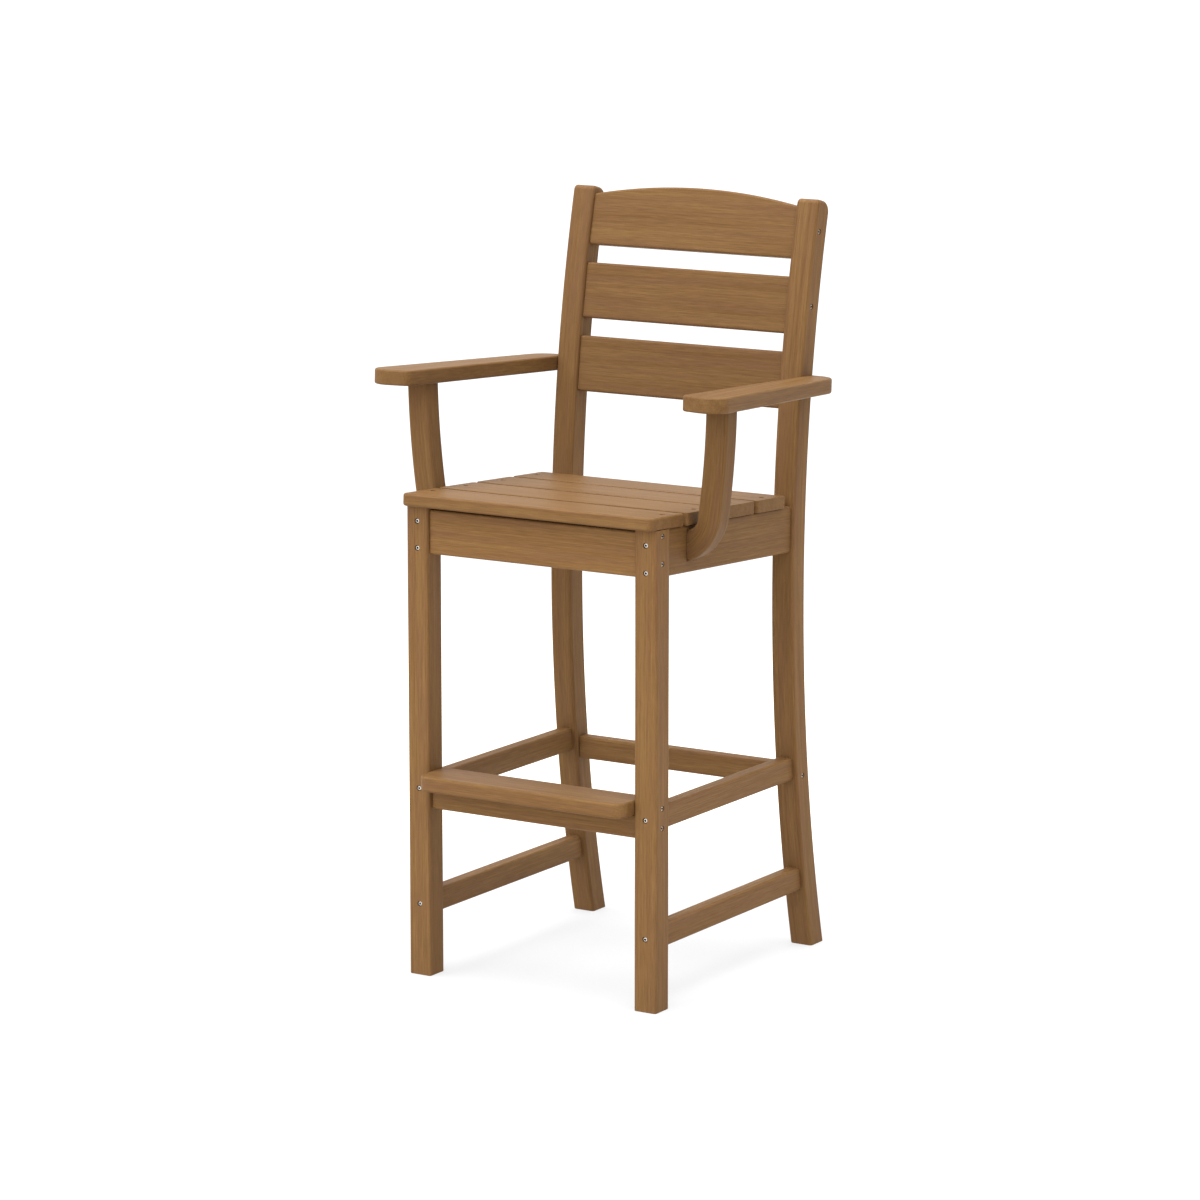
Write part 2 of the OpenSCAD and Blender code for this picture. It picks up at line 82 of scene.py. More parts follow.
@dataclass(frozen=True)
class Measures:
    """Sizes that several sub-assemblies share, in metres, and the frames that boards lie in.

    Depths are counted backwards from the front faces of the front legs.
    """

    half_width: float = 0.225
    leg: float = 0.039
    edge: float = 0.004
    edge_steps: int = 5
    end_round: float = 0.0014
    foot_round: float = 0.0012
    end_steps: int = 2
    sweep_radius: float = 2.560
    # Where the arc of the rear legs' front faces comes furthest forward
    waist_height: float = 0.591
    waist_depth: float = 0.407
    post_height: float = 1.194
    seat_height: float = 0.761
    seat_slope: float = math.radians(3)
    seat_overhang: float = 0.0155
    slat_thickness: float = 0.0195
    slat_width: float = 0.0965
    full_slats: int = 3
    rear_slat_width: float = 0.086
    slat_gap: float = 0.008
    apron_inset: float = 0.006
    apron_thickness: float = 0.025
    side_apron_height: float = 0.073
    back_slats: int = 3
    back_slat_low: float = 0.914
    back_slat_pitch: float = 0.1177
    back_slat_recess: float = 0.006
    back_slat_thickness: float = 0.020
    arm_height: float = 0.9442
    arm_slope: float = math.radians(2.9)
    arm_thickness: float = 0.024
    stretcher_height: float = 0.037
    stretcher_thickness: float = 0.023
    upper_stretcher: float = 0.2797
    lower_stretcher: float = 0.0955
    footrest_top: float = 0.3273
    footrest_thickness: float = 0.024
    footrest_overhang: float = 0.0365
    # What a board is sawn too long where a sloping cut follows
    end_spare: float = 0.03

    @property
    def inner(self) -> float:
        """Half the clear width between the legs."""
        return self.half_width - self.leg

    @property
    def leg_line(self) -> float:
        """Distance of a leg's own middle from the middle of the chair."""
        return self.half_width - self.leg / 2

    @property
    def apron_face(self) -> float:
        """Distance of the outer face of a side apron from the middle of the chair."""
        return self.half_width - self.apron_inset

    @property
    def stretcher_inset(self) -> float:
        """How far a stretcher's faces lie behind those of the legs that it joins."""
        return (self.leg - self.stretcher_thickness) / 2

    @property
    def front_stretcher(self) -> float:
        """Height of the underside of the front and rear stretchers."""
        return self.footrest_top - self.footrest_thickness - self.stretcher_height

    @property
    def sweep_depth(self) -> float:
        """Depth of the centre of the rear legs' arc."""
        return self.waist_depth + self.sweep_radius

    @property
    def middle(self) -> float:
        """Depth of the origin, half-way from the footrest's front to the heels of the rear legs."""
        heel = self.sweep_depth - math.sqrt((self.sweep_radius - self.leg) ** 2 - self.waist_height**2)
        return (heel - self.footrest_overhang) / 2

    @property
    def slats(self) -> list[tuple[float, float]]:
        """The places of the seat slats.

        Returns:
            The front edge and the width of each slat, along the seat and from front to back.
        """
        widths = [self.slat_width] * self.full_slats + [self.rear_slat_width]
        pitch = self.slat_width + self.slat_gap
        return [(row * pitch - self.seat_overhang, width) for row, width in enumerate(widths)]

    def arc_angle(self, height: float) -> float:
        """Angle on the rear legs' arc at which their front face has this height."""
        return math.asin((height - self.waist_height) / self.sweep_radius)

    def back_slat_angle(self, row: int) -> float:
        """Angle on the rear legs' arc at the middle of a back slat, counted from the lowest."""
        return self.arc_angle(self.back_slat_low) + row * self.back_slat_pitch / self.sweep_radius

    def rear_face(self, height: float) -> float:
        """Depth of the rear leg's front face at a height."""
        drop = height - self.waist_height
        return self.sweep_depth - math.sqrt(self.sweep_radius**2 - drop**2)

    def under_seat(self, depth: float, below: float) -> float:
        """Height of the point that lies a given way below the seat plane at a depth."""
        return self.seat_height - depth * math.tan(self.seat_slope) - below / math.cos(self.seat_slope)

    def spot(self, x: float, depth: float, height: float) -> Vector:
        """The point at a depth behind the front legs, in the frame that every piece shares."""
        return Vector((x, depth - self.middle, height))

    def sloping(self, height: float, slope: float) -> Matrix:
        """The frame that starts at a height over the front legs' faces and falls to the back."""
        return Matrix.Translation(self.spot(0, 0, height)) @ Matrix.Rotation(-slope, 4, "X")

    def seat_frame(self) -> Matrix:
        """The sloping frame whose floor is the top of the seat slats."""
        return self.sloping(self.seat_height, self.seat_slope)

    def arm_frame(self) -> Matrix:
        """The sloping frame whose floor is the top of the arms."""
        return self.sloping(self.arm_height, self.arm_slope)

    def arc_frame(self, angle: float, depth: float) -> Matrix:
        """The frame on the rear legs' arc in which Z runs up the leg.

        Args:
            angle: Place on the arc, in radians up from the waist.
            depth: Distance behind the front face of the rear legs.

        Returns:
            The frame's matrix.
        """
        centre = Matrix.Translation(self.spot(0, self.sweep_depth, self.waist_height))
        out = Matrix.Translation((0, depth - self.sweep_radius, 0))
        return centre @ Matrix.Rotation(-angle, 4, "X") @ out

    def rear_end(self, height: float, tall: float) -> tuple[Vector, Vector]:
        """The plane of a board's end against the rear legs.

        Args:
            height: Height of the end's lower edge.
            tall: Height of the end.

        Returns:
            A point of the plane, and the way backwards out of it.
        """
        low = self.spot(0, self.rear_face(height), height)
        high = self.spot(0, self.rear_face(height + tall), height + tall)
        return low, (high - low).normalized().cross(Vector((1, 0, 0)))


CHAIR = Measures()


@dataclass(frozen=True)
class Layer:
    """One layer of noise: the size of its streaks, its roughness and its place in the pattern."""

    length: float
    width: float
    detail: float
    roughness: float
    shift: float = 0.0


class Mix(Enum):
    """What is mixed, with Blender's blend type for colours."""

    VALUES = None
    COLORS = "MIX"
    FILTER = "MULTIPLY"


@dataclass(frozen=True)
class NodeSheet:
    """A material's node tree, and short ways to add the nodes that the finishes need."""

    material: bpy.types.Material

    @classmethod
    def fresh(cls, name: str) -> "NodeSheet":
        """Starts a material that holds only its shader and output.

        Args:
            name: The material's name.

        Returns:
            The sheet of the new material.
        """
        material = bpy.data.materials.new(name)
        material.use_nodes = True
        return cls(material)

    @property
    def shader(self) -> bpy.types.Node:
        """The surface shader of the material."""
        return self.material.node_tree.nodes["Principled BSDF"]

    def feed(self, socket: Socket, value: object) -> None:
        """Links a socket to an output, or sets its value.

        Args:
            socket: The socket to feed.
            value: The output to link, or the value to set.
        """
        if isinstance(value, Socket):
            self.material.node_tree.links.new(value, socket)
        else:
            socket.default_value = value

    def fill(self, node: bpy.types.Node, **values: object) -> bpy.types.Node:
        """Feeds several sockets of a node.

        Args:
            node: The node.
            **values: Socket names, with _ for a space, and what to feed them.

        Returns:
            The same node.
        """
        for name, value in values.items():
            self.feed(node.inputs[name.replace("_", " ")], value)
        return node

    def add(self, kind: str, **values: object) -> bpy.types.Node:
        """Adds a node of Blender's given type and feeds its sockets."""
        return self.fill(self.material.node_tree.nodes.new(kind), **values)

    def noise(
        self, source: Socket, layer: Layer, along: Sequence[int], shift: float = 0.0, tilt: float = 0.0
    ) -> Socket:
        """Adds noise that is stretched into streaks.

        Args:
            source: The coordinates.
            layer: The streaks' size and roughness.
            along: The axis that they run along, as 1 among 0s.
            shift: Moves the pattern, so that boards differ.
            tilt: Turns the pattern about the X axis, in radians.

        Returns:
            The noise value.
        """
        place = shift + layer.shift
        mapping = self.add(
            "ShaderNodeMapping",
            Vector=source,
            Location=(place, place / 2, place / 3),
            Rotation=(tilt, 0, 0),
            Scale=[layer.length if part else layer.width for part in along],
        )
        mapping.vector_type = "TEXTURE"
        noise = self.add("ShaderNodeTexNoise", Vector=mapping.outputs["Vector"], Scale=1.0)
        return self.fill(noise, Detail=layer.detail, Roughness=layer.roughness).outputs["Fac"]

    def spread(self, value: Socket, low: float, high: float, to_low: float, to_high: float) -> Socket:
        """Maps the range low to high onto another one, and holds it there."""
        ends = {"From_Min": low, "From_Max": high, "To_Min": to_low, "To_Max": to_high}
        return self.add("ShaderNodeMapRange", Value=value, **ends).outputs["Result"]

    def mix(self, kind: Mix, share: object, first: object, second: object) -> Socket:
        """Mixes two values or two colours, each a socket or the same all over.

        Args:
            kind: What is mixed.
            share: Share of the second one.
            first: The first value or colour.
            second: The second value or colour.

        Returns:
            The mixed value or colour.
        """
        node = self.add("ShaderNodeMix")
        # The node's sockets for values and for colours share their names, so they are told by place
        places, result = (0, 2, 3), 0
        if kind is not Mix.VALUES:
            node.data_type = "RGBA"
            node.blend_type = kind.value
            places, result = (0, 6, 7), 2
        for place, value in zip(places, (share, first, second)):
            self.feed(node.inputs[place], value)
        return node.outputs[result]


class Grain(Enum):
    """The way the streaks of a board run; along a curve they follow the stored path."""

    ACROSS = (1, 0, 0)
    BACKWARD = (0, 1, 0)
    UPRIGHT = (0, 0, 1)
    ALONG_CURVE = None


@dataclass(frozen=True)
class Lumber:
    """Moulded lumber: a tan board with fine streaks along its length and a low satin sheen."""

    grain: Grain
    seed: int
    tone: float = 1.0
    tilt: float = 0.0
    mauve_most: float = 0.62
    dark: Color = (0.133, 0.0640, 0.0215, 1.0)
    middle: Color = (0.160, 0.0826, 0.0290, 1.0)
    light: Color = (0.189, 0.1030, 0.0366, 1.0)
    mauve: Color = (0.147, 0.0726, 0.0330, 1.0)
    stops: tuple[float, float, float] = (0.34, 0.5, 0.66)
    bands: Layer = Layer(0.46, 0.0105, detail=2.0, roughness=0.5)
    streaks: Layer = Layer(0.150, 0.0020, detail=3.0, roughness=0.6, shift=0.17)
    hairs: Layer = Layer(0.028, 0.0013, detail=2.0, roughness=0.6, shift=0.41)
    drift: Layer = Layer(0.24, 0.014, detail=2.0, roughness=0.55, shift=0.59)
    streak_share: float = 0.58
    mauve_range: tuple[float, float] = (0.44, 0.66)
    shade: Span = (0.3, 0.7, 0.85, 1.14)
    roughness: Span = (0.3, 0.7, 0.54, 0.40)
    gloss: float = 0.075
    hair_relief: float = 0.4
    relief: float = 0.5
    relief_depth: float = 0.0003
    seed_step: float = 0.731

    def cut(self, step: int, tone: float | None = None) -> "Lumber":
        """The same lumber from another length of stock, whose streaks and perhaps tone differ."""
        return replace(self, seed=self.seed + step, tone=self.tone if tone is None else tone)

    def material(self, name: str) -> bpy.types.Material:
        """Builds one board's own material.

        Args:
            name: The material's name.

        Returns:
            A material whose streaks run along the board.
        """
        sheet = NodeSheet.fresh(name)
        if self.grain is Grain.ALONG_CURVE:
            node = sheet.add("ShaderNodeAttribute")
            node.attribute_name = PATH
            source = node.outputs["Vector"]
        else:
            source = sheet.add("ShaderNodeTexCoord").outputs["Object"]
        along = self.grain.value or Grain.ACROSS.value
        bands, streaks, hairs, drift = (
            sheet.noise(source, layer, along, self.seed * self.seed_step, self.tilt)
            for layer in (self.bands, self.streaks, self.hairs, self.drift)
        )
        ramp = sheet.add("ShaderNodeValToRGB", Fac=sheet.mix(Mix.VALUES, self.streak_share, bands, streaks))
        stops = ramp.color_ramp.elements
        stops[0].position, stops[0].color = self.stops[0], self.dark
        stops[1].position, stops[1].color = self.stops[2], self.light
        stops.new(self.stops[1]).color = self.middle
        mauve_share = sheet.spread(drift, *self.mauve_range, 0.0, self.mauve_most)
        color = sheet.mix(Mix.COLORS, mauve_share, ramp.outputs["Color"], self.mauve)
        shaded = sheet.add("ShaderNodeHueSaturation", Color=color, Value=sheet.spread(hairs, *self.shade))
        tone = (self.tone, self.tone, self.tone, 1.0)
        height = sheet.mix(Mix.VALUES, self.hair_relief, streaks, hairs)
        bump = sheet.add("ShaderNodeBump", Strength=self.relief, Distance=self.relief_depth, Height=height)
        sheet.fill(
            sheet.shader,
            Base_Color=sheet.mix(Mix.FILTER, 1.0, shaded.outputs["Color"], tone),
            Roughness=sheet.spread(streaks, *self.roughness),
            Specular_IOR_Level=self.gloss,
            Normal=bump.outputs["Normal"],
        )
        return sheet.material


@dataclass(frozen=True)
class Stainless:
    """Stainless screws: bright metal with a slightly uneven polish."""

    name: str = "stainless_screw"
    bright: Color = (0.78, 0.77, 0.75, 1.0)
    dull: Color = (0.58, 0.57, 0.55, 1.0)
    roughness: Span = (0.3, 0.7, 0.22, 0.38)
    patches: Layer = Layer(0.0015, 0.0015, detail=3.0, roughness=0.6)

    def material(self) -> bpy.types.Material:
        """Builds the material.

        Returns:
            A metal whose polish varies from place to place.
        """
        sheet = NodeSheet.fresh(self.name)
        source = sheet.add("ShaderNodeTexCoord").outputs["Object"]
        patches = sheet.noise(source, self.patches, Grain.ACROSS.value)
        color = sheet.mix(Mix.COLORS, patches, self.bright, self.dull)
        roughness = sheet.spread(patches, *self.roughness)
        sheet.fill(sheet.shader, Metallic=1.0, Base_Color=color, Roughness=roughness)
        return sheet.material


def deselect_all() -> None:
    """Leaves object mode as the mode, with nothing selected."""
    if bpy.context.mode != "OBJECT":
        bpy.ops.object.mode_set(mode="OBJECT")
    bpy.ops.object.select_all(action="DESELECT")


def take(*objects: bpy.types.Object) -> None:
    """Makes some objects the only ones selected, and the first one active.

    Args:
        *objects: The objects.
    """
    deselect_all()
    for obj in objects:
        obj.select_set(True)
    bpy.context.view_layer.objects.active = objects[0]


def near(a: float, b: float) -> bool:
    """True if two lengths are the same."""
    return abs(a - b) < NEAR


def both_at(axis: Axis, *places: float) -> Pick:
    """Makes a test for edges whose two ends lie at the same one of some places on an axis."""
    return lambda ends: any(all(near(end[axis], place) for end in ends) for place in places)


def parallel(axis: Axis) -> Pick:
    """Makes a test for edges that run along an axis."""
    return lambda ends: all(near(ends[0][other], ends[1][other]) for other in Axis if other != axis)


def underside(placed: Matrix, thickness: float) -> tuple[Vector, Vector]:
    """The plane under a board whose top is a frame's floor: a point of it and the way up."""
    return placed @ Vector((0, 0, -thickness)), placed.to_3x3() @ Vector((0, 0, 1))


def round_corners(points: Sequence[Vector], radii: Sequence[float], steps: int) -> list[Vector]:
    """Rounds the corners of a flat outline.

    Args:
        points: The corners in order, all in one plane.
        radii: The radius of each corner, 0 for a sharp one.
        steps: Straight pieces that each arc is made of.

    Returns:
        The outline with an arc in place of each rounded corner.
    """
    outline: list[Vector] = []
    count = len(points)
    for index, (corner, radius) in enumerate(zip(points, radii)):
        if radius <= 0:
            outline.append(corner.copy())
            continue
        back = (points[index - 1] - corner).normalized()
        ahead = (points[(index + 1) % count] - corner).normalized()
        half = back.angle(ahead) / 2
        centre = corner + (back + ahead).normalized() * radius / math.sin(half)
        start = corner + back * radius / math.tan(half) - centre
        end = corner + ahead * radius / math.tan(half) - centre
        swing = start.angle(end)
        for step in range(steps + 1):
            share = step / steps
            arm = start * math.sin((1 - share) * swing) + end * math.sin(share * swing)
            outline.append(centre + arm / math.sin(swing))
    return outline


def arc_points(
    centre: Vector, first: Vector, second: Vector, start: float, end: float, steps: int
) -> list[Vector]:
    """Points along an arc.

    Args:
        centre: Centre of the arc.
        first: The radius at angle 0.
        second: The radius a quarter turn on.
        start: Angle of the first point, in radians.
        end: Angle of the last point.
        steps: Straight pieces between them.

    Returns:
        The points, both ends included.
    """
    points = []
    for step in range(steps + 1):
        angle = start + (end - start) * step / steps
        points.append(centre + first * math.cos(angle) + second * math.sin(angle))
    return points


class Part(Enum):
    """The parts of a mesh that can be picked, with Blender's name of the select mode."""

    CORNERS = "VERT"
    EDGES = "EDGE"
    FACES = "FACE"


class Board:
    """One board on the bench, shaped by hand operations in edit mode."""

    SMOOTH_BELOW = math.radians(32)
    # A face with more corners than this is the round end of a turned piece
    SIDE_CORNERS = 4

    def __init__(self, obj: bpy.types.Object) -> None:
        """Takes hold of a mesh object that lies at the origin."""
        self.obj = obj

    @classmethod
    def just_added(cls) -> "Board":
        """Takes hold of the mesh that was added last, with its place and scale put into it."""
        return cls(bpy.context.object).settle()

    @classmethod
    def sawn(cls, low: Sequence[float], high: Sequence[float]) -> "Board":
        """Saws a square block.

        Args:
            low: The lowest corner.
            high: The highest corner.

        Returns:
            The block as a board.
        """
        deselect_all()
        centre = [(a + b) / 2 for a, b in zip(low, high)]
        size = [b - a for a, b in zip(low, high)]
        bpy.ops.mesh.primitive_cube_add(size=1, location=centre, scale=size)
        return cls.just_added()

    @classmethod
    def turned(cls, radius: float, low: float, high: float, facets: int) -> "Board":
        """Turns a cylinder on the Z axis.

        Args:
            radius: Its radius.
            low: Height of its lower end.
            high: Height of its upper end.
            facets: How many flat sides stand for its round one.

        Returns:
            The cylinder as a board.
        """
        deselect_all()
        middle = (0, 0, (low + high) / 2)
        bpy.ops.mesh.primitive_cylinder_add(vertices=facets, radius=radius, depth=high - low, location=middle)
        return cls.just_added()

    @classmethod
    def traced(cls, outline: Sequence[Vector], thickness: Sequence[float]) -> "Board":
        """Cuts a board to an outline, drawn point by point from one corner.

        Args:
            outline: The corners of the flat outline in order.
            thickness: The way from this face to the opposite one.

        Returns:
            The board.
        """
        deselect_all()
        bpy.ops.mesh.primitive_plane_add(size=CHAIR.leg, location=outline[0])
        board = cls.just_added()
        with board.on_bench():
            bpy.ops.mesh.merge(type="CENTER")
            for before, after in zip(outline, outline[1:]):
                bpy.ops.mesh.extrude_region_move(TRANSFORM_OT_translate={"value": after - before})
            bpy.ops.mesh.select_all(action="SELECT")
            bpy.ops.mesh.edge_face_add()
            bpy.ops.mesh.extrude_region_move(TRANSFORM_OT_translate={"value": thickness})
        return board.face_outwards()

    @contextmanager
    def on_bench(self, kind: Part = Part.CORNERS, pick: Pick | None = None) -> Iterator[None]:
        """Opens the board in edit mode for a while.

        Args:
            kind: The kind of part to select.
            pick: Says by its corners whether an edge or a face is selected. Without it, all is.

        Returns:
            The time in edit mode, for a with statement.
        """
        take(self.obj)
        bpy.ops.object.mode_set(mode="EDIT")
        bpy.ops.mesh.select_mode(type=kind.value)
        bpy.ops.mesh.select_all(action="DESELECT" if pick else "SELECT")
        if pick:
            mesh = bmesh.from_edit_mesh(self.obj.data)
            for part in mesh.edges if kind is Part.EDGES else mesh.faces:
                if pick([corner.co for corner in part.verts]):
                    part.select_set(True)
            bmesh.update_edit_mesh(self.obj.data)
        yield
        bpy.ops.object.mode_set(mode="OBJECT")

    def settle(self) -> "Board":
        """Puts the object's place, turn and scale into its mesh.

        Returns:
            The same board.
        """
        take(self.obj)
        bpy.ops.object.transform_apply(location=True, rotation=True, scale=True)
        return self

    def face_outwards(self) -> "Board":
        """Turns every face outwards.

        Returns:
            The same board.
        """
        with self.on_bench():
            bpy.ops.mesh.normals_make_consistent(inside=False)
        return self

    def place(self, matrix: Matrix) -> "Board":
        """Moves the board's own frame to where the matrix says."""
        self.obj.matrix_world = matrix
        return self.settle()

    def copy(self) -> "Board":
        """Makes another board of the same shape.

        Returns:
            The new board, with its own mesh.
        """
        take(self.obj)
        bpy.ops.object.duplicate(linked=False)
        return Board(bpy.context.object)

    def pair(self) -> tuple["Board", "Board"]:
        """Makes the board for the left side out of this one for the right.

        Returns:
            The mirror image, and this board.
        """
        left = self.copy()
        left.obj.scale.x = -1
        return left.settle().face_outwards(), self

    def repeated(self, places: Sequence[Matrix]) -> "Board":
        """Puts a copy of the board at each of some places and joins them.

        Args:
            places: Where the copies' own frames go.

        Returns:
            The copies as one board.
        """
        copies = [self.copy().place(place) for place in places]
        take(*[copy.obj for copy in copies])
        bpy.ops.object.join()
        return copies[0]

    def round_edges(self, pick: Pick, radius: float, steps: int = CHAIR.edge_steps) -> "Board":
        """Rounds some edges of the board.

        Args:
            pick: Says by its two ends whether an edge is rounded.
            radius: Radius of the rounding.
            steps: Strips that the rounding is made of.

        Returns:
            The same board.
        """
        with self.on_bench(Part.EDGES, pick):
            bpy.ops.mesh.bevel(offset=radius, segments=steps, profile=0.5, affect="EDGES")
        return self

    def round_length(self, axis: Axis) -> "Board":
        """Rounds the long edges of a board that runs along an axis."""
        return self.round_edges(parallel(axis), CHAIR.edge)

    def break_ends(self, axis: Axis, *places: float) -> "Board":
        """Breaks the edges of the ends that lie at some places on an axis."""
        return self.round_edges(both_at(axis, *places), CHAIR.end_round, CHAIR.end_steps)

    def round_foot(self) -> "Board":
        """Breaks the edges of a leg's foot on the floor."""
        return self.round_edges(both_at(Axis.Z, 0.0), CHAIR.foot_round, CHAIR.end_steps)

    def slice_off(self, point: Vector, outward: Vector) -> "Board":
        """Saws off what lies beyond a plane and closes the cut.

        Args:
            point: A point of the plane.
            outward: The way from the plane to what falls off.

        Returns:
            The same board.
        """
        with self.on_bench():
            bpy.ops.mesh.bisect(plane_co=point, plane_no=outward, use_fill=True, clear_outer=True)
        return self

    def score(self, centre: Vector, angle: float, first: Vector, second: Vector) -> None:
        """Scores a line across a bent board where a ray from the bend's centre meets it.

        Args:
            centre: Centre of the bend.
            angle: Angle of the ray.
            first: The way of the ray at angle 0.
            second: The way of the ray a quarter turn on.
        """
        normal = second * math.cos(angle) - first * math.sin(angle)
        with self.on_bench():
            bpy.ops.mesh.bisect(plane_co=centre, plane_no=normal, use_fill=False, clear_outer=False)

    def pull_end(self, height: float, to: float, scale: float) -> None:
        """Extrudes the flat end of a turned piece and scales what was pulled out.

        Args:
            height: Height of the end face.
            to: The height that it is pulled to.
            scale: How much the pulled face grows or shrinks across.
        """
        def is_end(corners: Sequence[Vector]) -> bool:
            """Tells the round end from the faces beside it."""
            return len(corners) > self.SIDE_CORNERS and all(near(corner.z, height) for corner in corners)

        with self.on_bench(Part.FACES, is_end):
            bpy.ops.mesh.extrude_region_move(TRANSFORM_OT_translate={"value": (0, 0, to - height)})
            bpy.ops.transform.resize(value=(scale, scale, 1.0), center_override=(0, 0, to))

    def cut_out(self, cutter: "Board") -> "Board":
        """Cuts another board's shape out of this one, which uses the other one up.

        Args:
            cutter: The other board.

        Returns:
            The same board.
        """
        take(self.obj)
        modifier = self.obj.modifiers.new("cut", "BOOLEAN")
        modifier.operation = "DIFFERENCE"
        modifier.solver = "EXACT"
        modifier.object = cutter.obj
        bpy.ops.object.modifier_apply(modifier=modifier.name)
        bpy.data.objects.remove(cutter.obj)
        return self

    def lay_path(self, place: Callable[[Vector], tuple[float, float, float]]) -> None:
        """Stores the way along the board at every point, for streaks that follow a curve.

        Args:
            place: Gives the distance along, through and across the board at a point.
        """
        mesh = self.obj.data
        layer = mesh.attributes.new(PATH, "FLOAT_VECTOR", "POINT")
        for vertex, entry in zip(mesh.vertices, layer.data):
            entry.vector = place(vertex.co)

    def dress(self, node: str, lumber: Lumber) -> None:
        """Gives the board its own lumber, and lets it stand for its node."""
        self.obj.data.materials.append(lumber.material(f"lumber_{node}"))
        self.finish(node, "lumber")

    def finish(self, node: str, slot: str) -> None:
        """Names and smooths the piece, and lets it stand for its node.

        Args:
            node: The node that the piece replaces.
            slot: Names a material slot; it is not used.
        """
        obj = self.obj
        obj.name = obj.data.name = f"{node}_piece"
        take(obj)
        bpy.ops.object.shade_smooth_by_angle(angle=self.SMOOTH_BELOW)
        modifier = obj.modifiers.new("soft_light", "WEIGHTED_NORMAL")
        modifier.keep_sharp = True
        bpy.ops.object.modifier_apply(modifier=modifier.name)
        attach(obj, BODY)
        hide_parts(node)
        log.info("%s: %d faces", obj.name, len(obj.data.polygons))


